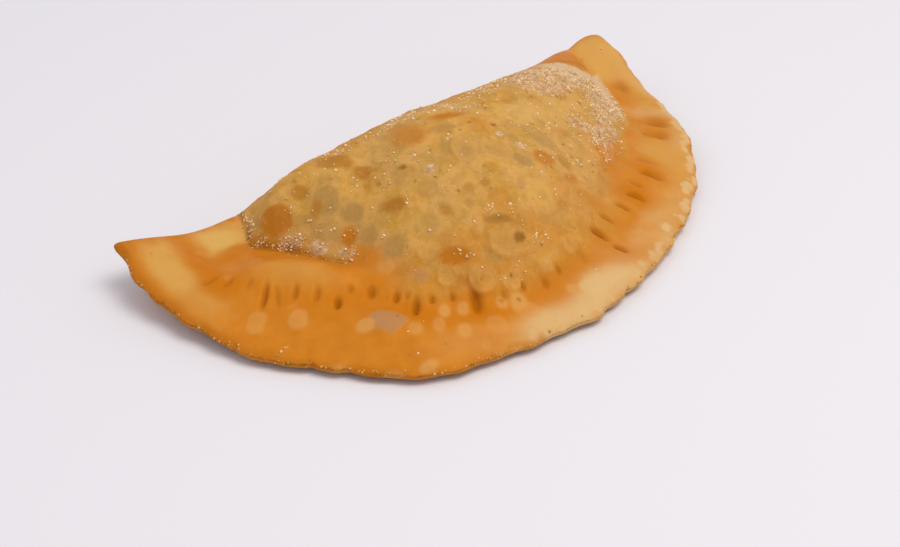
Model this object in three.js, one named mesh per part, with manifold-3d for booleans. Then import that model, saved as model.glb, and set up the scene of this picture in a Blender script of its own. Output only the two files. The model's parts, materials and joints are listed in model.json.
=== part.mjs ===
// A fried empanada: a round of dough folded in half over its filling and pressed shut with a fork.
//
// Millimetres, +Z up. X runs along the fold from tip to tip, +Y is the fold side and -Y the crimped
// rim. The plan is described about a hub near the middle of the fold by an angle in degrees: 0 points
// to the right tip (+X), 90 to the front of the rim (-Y) and 180 to the left tip (-X).
import * as THREE from 'three';
import { mergeVertices } from 'three/addons/utils/BufferGeometryUtils.js';
import Module from 'manifold-3d';

// ---- Driving dimensions ----

const HUB = { x: -9.5, y: -19 };
const RIM_RADIUS = 100.4;
// The rim strays from its circle in long, low lobes: angle, spread in degrees, height.
const RIM_LOBES = [
  { at: 126, spread: 26, height: 7.1 },
  { at: 153, spread: 14, height: 2.9 },
  { at: 173, spread: 9, height: 2.2 },
  { at: 18, spread: 27, height: 7.7 },
  { at: -12, spread: 15, height: 7.0 },
  { at: 8, spread: 11, height: -2.6 },
  { at: 42, spread: 11, height: 1.0 },
  { at: 88.5, spread: 6.5, height: 1.5 },
  { at: 121.5, spread: 5.5, height: 2.4 },
  { at: 140, spread: 5, height: -1.4 },
];
// The cut edge of the rim is slightly torn: how far it strays, and its waves in a full turn.
const TATTER = { height: 0.3, waves: [29, 53] };

// The folded edge dips in between the tips.
const FOLD = { y: -6, dip: 8.8, dipAt: -9.5, halfLength: 108, fullness: 2.6 };
// How far the fold and the rim round into each other at the sharp left and the blunt right tip.
const TIP_ROUNDING = { left: 1.2, right: 11.8 };

// Two layers of dough pressed together, with a rounded cut edge.
const DOUGH_THICKNESS = 4.2;
const EDGE_ROUNDING = 2.5;
// Middle of the dough above the ground, and how far the front of the flange droops below that.
const FLANGE_HEIGHT = 8;
const FRONT_DROOP = { height: 4.5, width: 22 };
// Both tips and the fold beside each of them lie higher: place, reach, height.
const LIFTS = [
  { x: -111, y: -5, reach: 38, height: 6.4 },
  { x: -68, y: -14, reach: 21, height: 1.7 },
  { x: 103, y: -7, reach: 48, height: 12.1 },
  { x: 74, y: -10, reach: 26, height: 2.4 },
];

// How far in from the rim the fork marks end and the belly begins. Both turn inwards on the left,
// where the belly's end has a rounded corner.
const CRIMP_INSET = {
  least: 13.5,
  lobes: [
    { at: 66, spread: 16, height: 4 },
    { at: 134, spread: 28, height: 18.5 },
  ],
  left: { from: 150, over: 25, height: 8 },
};
const FOOT_INSET = {
  least: 16,
  lobes: [
    { at: 46, spread: 24, height: 9.5 },
    { at: 168, spread: 6.5, height: -5 },
  ],
  left: { from: 90, over: 55, height: 27 },
};

// The filled belly, above and below the middle of the dough.
const BELLY_HEIGHT = 27.3;
const BELLY_DEPTH = 9;
// How far in from its foot the belly still rises: less where it is steeper, near both ends.
const BELLY_FRONT_RUN = 52;
const STEEPER_LEFT = { from: 130, over: 35, by: 17.8 };
const STEEPER_RIGHT = { from: 35, over: 35, by: 20.5 };
const BELLY_BACK_RUN = 31.7;
// The belly rises softly from its foot at the front, and sharply at both ends.
const FOOT_SOFTNESS = { most: 3.5, last: 128, over: 12, first: 12, from: 20 };
const BELLY_SLOPE = 2.2;
// Shares by which the belly falls to the right and swells along the fold.
const BELLY_FALL = { from: 5, over: 60, share: 0.12 };
const BELLY_SWELLS = [
  { at: -9, spread: 12, height: 0.065 },
  { at: -43, spread: 12, height: -0.08 },
  { at: -66, spread: 7, height: 0.1 },
];

// A smooth roll of dough between the crease at the belly's left foot and the crimps.
const ROLL = { x: -72, y: -56, length: 20, width: 9, height: 6, along: new THREE.Vector2(0.62, -0.78) };
// The fork leaves a shallow furrow where its marks stand side by side.
const FURROW = { depth: 1.0, width: 6, set: 4, first: 160, last: -8 };
// The fork's first press is a broad band across the left tip.
const BAND = { from: { x: -92, y: -6 }, to: { x: -84, y: -36 }, width: 4, depth: 1.1 };

// Blisters and puffed places in the fried dough: place, radius, height.
const BLISTERS = [
  { x: -65, y: -32, radius: 6, height: 0.7 },
  { x: -53, y: -43.5, radius: 5.5, height: 0.6 },
  { x: -20, y: -44, radius: 6.5, height: 0.6 },
  { x: 2.5, y: -52, radius: 6, height: 0.6 },
  { x: -12, y: -59.5, radius: 6.5, height: 0.6 },
  { x: 13, y: -73, radius: 5.5, height: 0.6 },
  { x: 3, y: -82.5, radius: 5.5, height: 0.6 },
  { x: -19.5, y: -91, radius: 8, height: 0.8 },
  { x: -32.5, y: -95.5, radius: 4.5, height: 0.7 },
  { x: -66, y: -88, radius: 5.5, height: 0.7 },
  { x: 4, y: -111, radius: 11, height: 1.1 },
  { x: 35, y: -100.5, radius: 8, height: 0.8 },
];

// Fork marks, from the left tip round to the right one: the middle in the plan, the direction in
// degrees from +X, the length, the width and the depth.
const MARKS = [
  [-94.5, -38, 173, 7, 2.2, 0.9],
  [-91, -43, -171, 5, 2.0, 0.9],
  [-87, -48.5, -158, 4.5, 1.8, 0.7],
  [-86.5, -56, -136, 10.5, 1.6, 1.5],
  [-84, -59, -121, 8.5, 1.5, 1.1],
  [-79, -61.5, -142, 5.5, 1.9, 1.6],
  [-74.5, -66.5, -139, 5.5, 1.8, 1.5],
  [-71.5, -73, -129, 5.5, 2.0, 2.0],
  [-65, -71, -127, 3.5, 1.7, 1.1],
  [-60.5, -75.5, -129, 7, 3.0, 1.1],
  [-56.5, -81.5, -132, 8, 2.2, 1.8],
  [-53.5, -84, -124, 3.5, 1.6, 0.9],
  [-54, -89, -130, 10, 2.1, 2.1],
  [-48, -87.5, -131, 4.5, 1.9, 1.8],
  [-43, -92, -128, 5, 1.9, 1.8],
  [-39, -99.5, -117, 12.5, 3.2, 2.3],
  [-30, -102, -120, 4, 1.8, 0.9],
  [-23.5, -102.5, -115, 4, 1.9, 1.7],
  [-16, -105, -111, 5, 2.6, 1.6],
  [-9.5, -103.5, -102, 4, 1.6, 1.2],
  [1.5, -103, -63, 5, 3.0, 0.8],
  [15, -97.5, -45, 8.5, 3.4, 2.3],
  [18, -104, -68, 7.5, 3.2, 2.0],
  [23.5, -93, -42, 6.5, 2.8, 1.5],
  [33, -89.5, -70, 7, 3.2, 1.6],
  [42.5, -88, -54, 11, 4.0, 2.4],
  [46.5, -82, -65, 5.5, 2.6, 1.0],
  [56, -80, -45, 10, 4.0, 1.8],
  [60.5, -73.5, -42, 10, 3.8, 1.1],
  [75, -62.3, -48, 9.5, 4.0, 1.9],
  [80, -56, -60, 12, 3.8, 2.0],
  [88, -43.6, -43, 9, 3.4, 0.6],
  [85.5, -34, -70, 7.5, 3.2, 1.0],
];

// Clumps of coarse sugar and crumb that stick to the crust: how many, and the area that they share.
const CLUMPS = [
  { count: 36, x: 56, y: -38, spreadX: 13, spreadY: 4 },
  { count: 22, x: 64, y: -53, spreadX: 7, spreadY: 7 },
  { count: 14, x: 18, y: -37, spreadX: 14, spreadY: 3 },
  { count: 8, x: -68, y: -25, spreadX: 1.5, spreadY: 5 },
  { count: 12, x: -60, y: -53, spreadX: 3, spreadY: 4 },
  { count: 18, x: 0, y: -64, spreadX: 34, spreadY: 16 },
];
const CLUMP_RADIUS = { smallest: 0.75, largest: 1.3, sunk: 0.3 };
const SEED = 71;

// Facets: how far apart the mesh points stand, and how many rings run between outline and spine.
const TOP = { spacing: 3.3, rings: 17 };
const UNDERSIDE = { spacing: 7, rings: 8 };
const OUTLINE_SAMPLES = 240;
// The lower this is, the closer the rings crowd at the cut edge.
const CUT_CROWDING = 0.15;

// ---- Small helpers ----

const clamp01 = (value) => Math.min(Math.max(value, 0), 1);
const lerp = (a, b, amount) => a + (b - a) * amount;
const bump = (value) => Math.exp(-value * value);

function smooth(value) {
  const t = clamp01(value);
  return t * t * (3 - 2 * t);
}

function smoothMin(a, b, blend) {
  const share = clamp01(0.5 + (0.5 * (b - a)) / blend);
  return lerp(b, a, share) - blend * share * (1 - share);
}

// The sum of a row of bells along one value.
function bells(row, value) {
  return row.reduce((sum, bell) => sum + bell.height * bump((value - bell.at) / bell.spread), 0);
}

// A repeatable random number between 0 and 1.
function makeRandom(seed) {
  let state = seed;
  return () => {
    state = (state * 1664525 + 1013904223) % 4294967296;
    return state / 4294967296;
  };
}

// ---- The plan ----

function polar(x, y) {
  const dx = x - HUB.x;
  const dy = HUB.y - y;
  const turn = THREE.MathUtils.radToDeg(Math.atan2(dy, dx));
  return { radius: Math.hypot(dx, dy), angle: turn < -90 ? turn + 360 : turn };
}

function fromPolar(radius, angle) {
  const turn = THREE.MathUtils.degToRad(angle);
  return { x: HUB.x + radius * Math.cos(turn), y: HUB.y - radius * Math.sin(turn) };
}

function rimRadius(angle) {
  return RIM_RADIUS + bells(RIM_LOBES, angle);
}

function tatter(angle) {
  const turn = THREE.MathUtils.degToRad(angle);
  return TATTER.height * (Math.sin(turn * TATTER.waves[0]) + Math.sin(turn * TATTER.waves[1]));
}

function foldY(x) {
  const along = clamp01(Math.abs((x - FOLD.dipAt) / FOLD.halfLength));
  return FOLD.y - FOLD.dip * (1 - along ** FOLD.fullness);
}

// How far a point of the plan lies inside the rim, the fold, and the rounded outline of both.
function insets(x, y) {
  const { radius, angle } = polar(x, y);
  const rim = rimRadius(angle) - radius;
  const fold = foldY(x) - y;
  const blend = lerp(TIP_ROUNDING.left, TIP_ROUNDING.right, smooth((x + 40) / 120));
  return { angle, rim, fold, edge: smoothMin(rim + tatter(angle), fold, blend) };
}

// From the rim in to the fork marks' inner ends, or to the foot of the belly.
function insetAt({ least, lobes, left }, angle) {
  return least + bells(lobes, angle) + left.height * smooth((angle - left.from) / left.over);
}

// ---- The heights ----

function doughMiddle(x, y, place) {
  const towardsRim = smooth(1 - place.rim / FRONT_DROOP.width);
  const towardsFront = smooth((place.angle - 20) / 30) * smooth((175 - place.angle) / 30);
  const lifted = LIFTS.reduce((sum, lift) => {
    const away = Math.hypot(x - lift.x, y - lift.y);
    return sum + lift.height * smooth(1 - away / lift.reach);
  }, 0);
  return FLANGE_HEIGHT - FRONT_DROOP.height * towardsRim * towardsFront + lifted;
}

// How far in from the belly's foot a place lies, rounded off where the foot is soft.
function fromFoot(place) {
  const { most, last, over, first, from } = FOOT_SOFTNESS;
  const soft = most * smooth((place.angle - first) / from) * (1 - smooth((place.angle - last) / over));
  const inside = place.rim - insetAt(FOOT_INSET, place.angle) - 0.2 * soft;
  return (inside + Math.hypot(inside, soft)) / 2;
}

// 0 at the belly's foot and at the fold, 1 at its full height.
function bellyRise(x, place) {
  const steeperLeft = STEEPER_LEFT.by * smooth((place.angle - STEEPER_LEFT.from) / STEEPER_LEFT.over);
  const steeperRight = STEEPER_RIGHT.by * smooth((STEEPER_RIGHT.from - place.angle) / STEEPER_RIGHT.over);
  const frontRun = BELLY_FRONT_RUN - steeperLeft - steeperRight;
  const inside = clamp01(fromFoot(place) / frontRun);
  const front = 1 - (1 - inside) ** BELLY_SLOPE;
  const back = Math.sqrt(1 - (1 - clamp01(place.fold / BELLY_BACK_RUN)) ** 2);
  const fall = BELLY_FALL.share * smooth((x - BELLY_FALL.from) / BELLY_FALL.over);
  return front * back * (1 - fall + bells(BELLY_SWELLS, x));
}

function rollHeight(x, y) {
  const dx = x - ROLL.x;
  const dy = y - ROLL.y;
  const along = dx * ROLL.along.x + dy * ROLL.along.y;
  const across = dy * ROLL.along.x - dx * ROLL.along.y;
  return ROLL.height * bump(along / ROLL.length) * bump(across / ROLL.width);
}

function furrowDepth(place) {
  const marked = smooth((place.angle - FURROW.last) / 10) * smooth((FURROW.first - place.angle) / 10);
  const setIn = place.rim - insetAt(CRIMP_INSET, place.angle) + FURROW.set;
  return FURROW.depth * marked * bump(setIn / FURROW.width);
}

function bandDepth(x, y) {
  const along = { x: BAND.to.x - BAND.from.x, y: BAND.to.y - BAND.from.y };
  const reach = (x - BAND.from.x) * along.x + (y - BAND.from.y) * along.y;
  const nearest = between(BAND.from, BAND.to, clamp01(reach / (along.x ** 2 + along.y ** 2)));
  return BAND.depth * bump(Math.hypot(x - nearest.x, y - nearest.y) / BAND.width);
}

function blisterHeight(x, y) {
  const domes = BLISTERS.map((blister) => {
    const away = Math.hypot(x - blister.x, y - blister.y) / blister.radius;
    return blister.height * bump(away ** 2);
  });
  return Math.max(...domes);
}

function halfThickness(place) {
  return (DOUGH_THICKNESS / 2) * Math.sqrt(1 - (1 - clamp01(place.edge / EDGE_ROUNDING)) ** 2);
}

function topHeight(x, y) {
  const place = insets(x, y);
  const away = smooth(place.edge / 12);
  const relief = rollHeight(x, y) + blisterHeight(x, y) - furrowDepth(place) - bandDepth(x, y);
  const rise = BELLY_HEIGHT * bellyRise(x, place);
  return doughMiddle(x, y, place) + halfThickness(place) + rise + away * relief;
}

// The belly sags until it lies on the ground, where its underside is flat.
function underHeight(x, y) {
  const place = insets(x, y);
  return Math.max(doughMiddle(x, y, place) - halfThickness(place) - BELLY_DEPTH * bellyRise(x, place), 0);
}

// ---- The crust: rings of points from the outline in to a spine ----

// The spine bows towards the front. It leaves its ends straight away from the aims beyond each tip,
// so that no two lines between the spine and the aims cross.
const SPINE = { left: { x: -90, y: -17 }, right: { x: 84, y: -17 }, dip: 19.8, sag: 22.2 };
const TIP_AIMS = { left: { x: -125, y: -1.1 }, right: { x: 124, y: 1.2 } };
const RIM_AIM_BOW = 30;

// w runs from 0 at the left tip to 1 at the right.
function spinePoint(w) {
  const { left, right, dip, sag } = SPINE;
  const bow = 4 * w * (1 - w);
  return { x: lerp(left.x, right.x, w), y: lerp(left.y, right.y, w) - dip * bow - sag * bow ** 2 };
}

function aimPoint(side, w) {
  const { left, right } = TIP_AIMS;
  if (side === 'fold') return between(left, right, w);
  const from = polar(left.x, left.y);
  const to = polar(right.x, right.y);
  const radius = lerp(from.radius, to.radius, w) + RIM_AIM_BOW * Math.sin(Math.PI * w);
  return fromPolar(radius, lerp(from.angle, to.angle, w));
}

function between(a, b, amount) {
  return { x: lerp(a.x, b.x, amount), y: lerp(a.y, b.y, amount) };
}

// The outline's point on the line from the spine to the aim, by halving.
function outlinePoint(side, w) {
  const start = spinePoint(w);
  const aim = aimPoint(side, w);
  let inside = 0;
  let outside = 1;
  for (let step = 0; step < 30; step += 1) {
    const middle = (inside + outside) / 2;
    const point = between(start, aim, middle);
    if (insets(point.x, point.y).edge > 0) inside = middle;
    else outside = middle;
  }
  return between(start, aim, inside);
}

// How far a ring stands in from the outline, as a share of the way to the spine. The rings crowd
// together where the surface turns down: quickly at the cut edge, slowly round the folded one.
function ringDepth(side, w, share) {
  const folded = 1 - Math.cos((Math.PI / 2) * share);
  if (side === 'fold') return folded;
  const soft = CUT_CROWDING;
  const cut = (Math.hypot(share, soft) - soft) / (Math.hypot(1, soft) - soft);
  return lerp(folded, cut, smooth(w / 0.1) * smooth((1 - w) / 0.1));
}

function sampleSide(side) {
  return Array.from({ length: OUTLINE_SAMPLES + 1 }, (_, i) => {
    const w = i / OUTLINE_SAMPLES;
    return { w, outer: outlinePoint(side, w), inner: spinePoint(w) };
  });
}

// One side of a ring as evenly spaced points, ends included, each with its w.
function ringSide(side, samples, share, spacing) {
  const line = samples.map(({ w, outer, inner }) => {
    const depth = ringDepth(side, w, share);
    return { w, ...between(outer, inner, depth) };
  });
  const reach = [0];
  for (let i = 1; i < line.length; i += 1) {
    reach.push(reach[i - 1] + Math.hypot(line[i].x - line[i - 1].x, line[i].y - line[i - 1].y));
  }
  const total = reach[reach.length - 1];
  const steps = Math.max(Math.round(total / spacing), 2);
  const points = [];
  let at = 0;
  for (let i = 0; i <= steps; i += 1) {
    const target = (total * i) / steps;
    while (at < line.length - 2 && reach[at + 1] < target) at += 1;
    const amount = clamp01((target - reach[at]) / (reach[at + 1] - reach[at]));
    const w = lerp(line[at].w, line[at + 1].w, amount);
    points.push({ w, ...between(line[at], line[at + 1], amount) });
  }
  return points;
}

// Fills the strip between two rows of vertices with triangles, always taking the nearer next step.
function stitch(outerRow, innerRow, faces, flip) {
  let i = 0;
  let j = 0;
  while (i < outerRow.length - 1 || j < innerRow.length - 1) {
    const outerNext = outerRow[i + 1]?.w ?? Infinity;
    const innerNext = innerRow[j + 1]?.w ?? Infinity;
    const next = outerNext <= innerNext ? outerRow[i + 1].id : innerRow[j + 1].id;
    const face = [outerRow[i].id, next, innerRow[j].id];
    if (new Set(face).size === 3) faces.push(flip ? face.reverse() : face);
    if (outerNext <= innerNext) i += 1;
    else j += 1;
  }
}

function crustGeometry() {
  const positions = [];
  const faces = [];
  const samples = { fold: sampleSide('fold'), rim: sampleSide('rim') };

  // Both sides of a ring share the vertices at its two ends; on the spine they share all of them.
  function addRing(share, spacing, heightAt) {
    const place = (point) => {
      positions.push(point.x, point.y, heightAt(point.x, point.y));
      return { w: point.w, id: positions.length / 3 - 1 };
    };
    const fold = ringSide('fold', samples.fold, share, spacing).map(place);
    if (share === 1) return { fold, rim: fold };
    const rimPoints = ringSide('rim', samples.rim, share, spacing);
    const rim = [fold[0], ...rimPoints.slice(1, -1).map(place), fold[fold.length - 1]];
    return { fold, rim };
  }

  function addSheet(outline, { spacing, rings }, heightAt, isTop) {
    let outer = outline;
    for (let k = 1; k <= rings; k += 1) {
      const inner = addRing(k / rings, spacing, heightAt);
      stitch(outer.fold, inner.fold, faces, isTop);
      stitch(outer.rim, inner.rim, faces, !isTop);
      outer = inner;
    }
  }

  const outline = addRing(0, TOP.spacing, topHeight);
  addSheet(outline, TOP, topHeight, true);
  addSheet(outline, UNDERSIDE, underHeight, false);

  const geometry = new THREE.BufferGeometry();
  geometry.setAttribute('position', new THREE.Float32BufferAttribute(positions, 3));
  geometry.setIndex(faces.flat());
  return geometry;
}

// ---- Fork marks and clumps, as small closed shapes placed on the crust ----

function topPoint(x, y) {
  return new THREE.Vector3(x, y, topHeight(x, y));
}

function topNormal(x, y) {
  const reach = 1.5;
  const along = topPoint(x + reach, y).sub(topPoint(x - reach, y));
  const across = topPoint(x, y + reach).sub(topPoint(x, y - reach));
  return along.cross(across).normalize();
}

function forkMarks() {
  return MARKS.map(([x, y, degrees, length, width, depth]) => {
    const turn = THREE.MathUtils.degToRad(degrees);
    const slit = new THREE.OctahedronGeometry(1, 0);
    slit.scale(length / 2, width / 2, depth);
    return slit.applyMatrix4(surfaceMatrix({ x, y }, { x: x + Math.cos(turn), y: y + Math.sin(turn) }));
  });
}

// Stands a shape on the crust at a place, with its X turned towards an aim and its Z along the normal.
function surfaceMatrix(place, aim) {
  const up = topNormal(place.x, place.y);
  const forward = new THREE.Vector3(aim.x - place.x, aim.y - place.y, 0);
  forward.addScaledVector(up, -forward.dot(up)).normalize();
  const left = new THREE.Vector3().crossVectors(up, forward);
  return new THREE.Matrix4().makeBasis(forward, left, up).setPosition(topPoint(place.x, place.y));
}

function clumps(random) {
  const gaussian = () => (random() + random() + random() - 1.5) * 1.4;
  return CLUMPS.flatMap((patch) =>
    Array.from({ length: patch.count }, () => {
      const place = { x: patch.x + patch.spreadX * gaussian(), y: patch.y + patch.spreadY * gaussian() };
      const radius = lerp(CLUMP_RADIUS.smallest, CLUMP_RADIUS.largest, random() ** 2);
      const clump = new THREE.IcosahedronGeometry(radius, 0);
      clump.scale(1, lerp(0.7, 1, random()), lerp(0.7, 0.95, random()));
      clump.translate(0, 0, -CLUMP_RADIUS.sunk * radius);
      const aim = { x: place.x + random() - 0.5, y: place.y + random() + 0.1 };
      clump.applyMatrix4(surfaceMatrix(place, aim));
      return { place, clump };
    }),
  )
    .filter(({ place }) => insets(place.x, place.y).edge > 4)
    .map(({ clump }) => clump);
}

// ---- One fused solid ----

const manifold = await Module();
manifold.setup();

function toSolid(geometry) {
  const bare = geometry.clone();
  bare.deleteAttribute('normal');
  bare.deleteAttribute('uv');
  const merged = mergeVertices(bare, 1e-5);
  return new manifold.Manifold(
    new manifold.Mesh({
      numProp: 3,
      vertProperties: new Float32Array(merged.attributes.position.array),
      triVerts: new Uint32Array(merged.index.array),
    }),
  );
}

function toGeometry(solid) {
  const mesh = solid.getMesh();
  const geometry = new THREE.BufferGeometry();
  geometry.setAttribute('position', new THREE.BufferAttribute(new Float32Array(mesh.vertProperties), 3));
  geometry.setIndex(new THREE.BufferAttribute(new Uint32Array(mesh.triVerts), 1));
  return geometry;
}

// Puts the middle of the bounding box's underside at the origin.
function centreOnGround(geometry) {
  geometry.computeBoundingBox();
  const { min, max } = geometry.boundingBox;
  return geometry.translate(-(min.x + max.x) / 2, -(min.y + max.y) / 2, -min.z);
}

function empanadaGeometry() {
  const crust = toSolid(crustGeometry());
  const pressed = forkMarks().reduce((body, mark) => body.subtract(toSolid(mark)), crust);
  const sugared = clumps(makeRandom(SEED)).reduce((body, clump) => body.add(toSolid(clump)), pressed);
  return centreOnGround(toGeometry(sugared));
}

const crustMaterial = new THREE.MeshStandardMaterial({
  name: 'fried_crust',
  color: 0xc98a3f,
  roughness: 0.55,
  metalness: 0,
});

const empanada = new THREE.Mesh(empanadaGeometry(), crustMaterial);
empanada.name = 'empanada';
empanada.geometry.computeVertexNormals();

const model = new THREE.Group();
model.add(empanada);

export default model;
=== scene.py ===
"""The looks of a fried empanada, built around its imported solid.

The crust is one closed mesh, swept in rings from the outline in to a spine on both sides of the dough.
Its form follows the same rules as the solid, and fork marks, blisters, the two layers at the cut edge
and the dough's small lumps are modelled on it. Grains of coarse sugar and toasted crumbs are scattered
over it by Geometry Nodes. Shapes are worked out in millimetres and turned to metres when a mesh is made.
"""

from __future__ import annotations

import json
import logging
import math
from dataclasses import dataclass, field
from enum import Enum, IntEnum
from itertools import product
from typing import Any

import bpy
import numpy as np
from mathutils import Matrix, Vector

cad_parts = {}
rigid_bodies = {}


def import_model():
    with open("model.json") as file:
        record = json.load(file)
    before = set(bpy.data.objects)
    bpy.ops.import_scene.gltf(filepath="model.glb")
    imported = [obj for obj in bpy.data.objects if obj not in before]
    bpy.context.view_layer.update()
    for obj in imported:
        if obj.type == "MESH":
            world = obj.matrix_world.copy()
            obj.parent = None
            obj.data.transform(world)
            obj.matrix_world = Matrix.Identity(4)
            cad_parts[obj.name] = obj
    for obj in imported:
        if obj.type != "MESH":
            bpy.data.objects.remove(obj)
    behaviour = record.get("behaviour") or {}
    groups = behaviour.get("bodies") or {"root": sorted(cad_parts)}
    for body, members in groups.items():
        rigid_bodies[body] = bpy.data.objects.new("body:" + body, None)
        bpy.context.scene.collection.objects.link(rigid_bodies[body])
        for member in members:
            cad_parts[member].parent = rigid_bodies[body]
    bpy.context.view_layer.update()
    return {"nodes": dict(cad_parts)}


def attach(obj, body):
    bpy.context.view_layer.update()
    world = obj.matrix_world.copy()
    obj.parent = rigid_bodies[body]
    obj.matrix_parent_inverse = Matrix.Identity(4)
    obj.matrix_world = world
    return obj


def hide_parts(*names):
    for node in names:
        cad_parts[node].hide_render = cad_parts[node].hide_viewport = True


LOG = logging.getLogger("empanada")
Array = np.ndarray

MM = 0.001
NODE = "empanada"
BODY = "root"
ON_OUTLINE = 1e-6
NEARLY_ZERO = 1e-12


# ---- Small helpers -------------------------------------------------------------------------------


def clamp01(value: Array) -> Array:
    """Values held between 0 and 1."""
    return np.clip(value, 0.0, 1.0)


def smooth(value: Array) -> Array:
    """An eased step from 0 to 1 as the value goes from 0 to 1."""
    t = clamp01(value)
    return t * t * (3.0 - 2.0 * t)


def bump(value: Array) -> Array:
    """A bell that is 1 at 0 and fades to nothing past 2."""
    return np.exp(-np.square(value))


def lerp(a: Array, b: Array, amount: Array) -> Array:
    """The value that lies an amount of the way from a to b."""
    return a + (b - a) * amount


def smooth_min(a: Array, b: Array, blend: Array) -> Array:
    """The lesser of two values, rounded where they are within a blend of each other."""
    share = clamp01(0.5 + 0.5 * (b - a) / blend)
    return lerp(b, a, share) - blend * share * (1.0 - share)


def turned(dx: Array, dy: Array, degrees: float) -> tuple[Array, Array]:
    """Offsets in the plan, measured along and across a direction in degrees from +X."""
    turn = math.radians(degrees)
    return dx * math.cos(turn) + dy * math.sin(turn), dy * math.cos(turn) - dx * math.sin(turn)


@dataclass(frozen=True)
class Step:
    """An eased rise along a measure: where it starts, over how far, and what it rises to.

    With a run below 0 it rises towards lower values.
    """

    start: float
    run: float
    rise: float = 1.0

    def at(self, measure: Array) -> Array:
        """How far it has risen at each value of the measure."""
        return self.rise * smooth((measure - self.start) / self.run)


@dataclass(frozen=True)
class Lobe:
    """A long low swelling along a measure: its middle, how far it spreads and its height."""

    middle: float
    spread: float
    height: float = 1.0

    def at(self, measure: Array) -> Array:
        """Its height at each value of the measure."""
        return self.height * bump((measure - self.middle) / self.spread)


@dataclass(frozen=True)
class Lumps:
    """Soft random lumps that fill space, with ever smaller and weaker lumps on them.

    size is how far apart the largest lumps are in mm, and layers is how many sizes there are.
    """

    seed: int
    size: float
    layers: int = 3
    cells: int = 24
    layer_shift: float = 37.0

    def at(self, points: Array) -> Array:
        """The lumps' value at each point, a row of x, y, z in mm: from -1 to 1 in one layer."""
        lattice = np.random.default_rng(self.seed).uniform(-1.0, 1.0, (self.cells,) * 3)
        total = np.zeros(len(points))
        for layer in range(self.layers):
            scaled = (points + self.layer_shift * layer) / (self.size / 2**layer)
            total += self.between(lattice, scaled) / 2**layer
        return total

    def between(self, lattice: Array, scaled: Array) -> Array:
        """The repeating lattice's values, eased between its corners.

        Args:
            lattice: the value at each corner.
            scaled: rows of x, y, z, in cells of the lattice.

        Returns:
            One value for each row.
        """
        low = np.floor(scaled).astype(int)
        part = smooth(scaled - low)
        total = np.zeros(len(scaled))
        for corner in product((0, 1), repeat=3):
            weight = np.prod(np.where(np.array(corner) == 1, part, 1.0 - part), axis=1)
            cell = (low + corner) % self.cells
            total += weight * lattice[cell[:, 0], cell[:, 1], cell[:, 2]]
        return total


# ---- The plan and the form -----------------------------------------------------------------------


@dataclass(frozen=True)
class Inset:
    """How far in from the rim a line runs, in mm: a base, its swellings and what the left adds."""

    base: float
    lobes: tuple[Lobe, ...]
    left: Step

    def at(self, angle: Array) -> Array:
        """The inset at each angle about the hub."""
        return self.base + sum(lobe.at(angle) for lobe in self.lobes) + self.left.at(angle)


@dataclass(frozen=True)
class Place:
    """Where points of the plan lie: their angle about the hub, and how far in they stand, in mm."""

    x: Array
    y: Array
    angle: Array
    rim: Array
    fold: Array
    edge: Array


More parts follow.
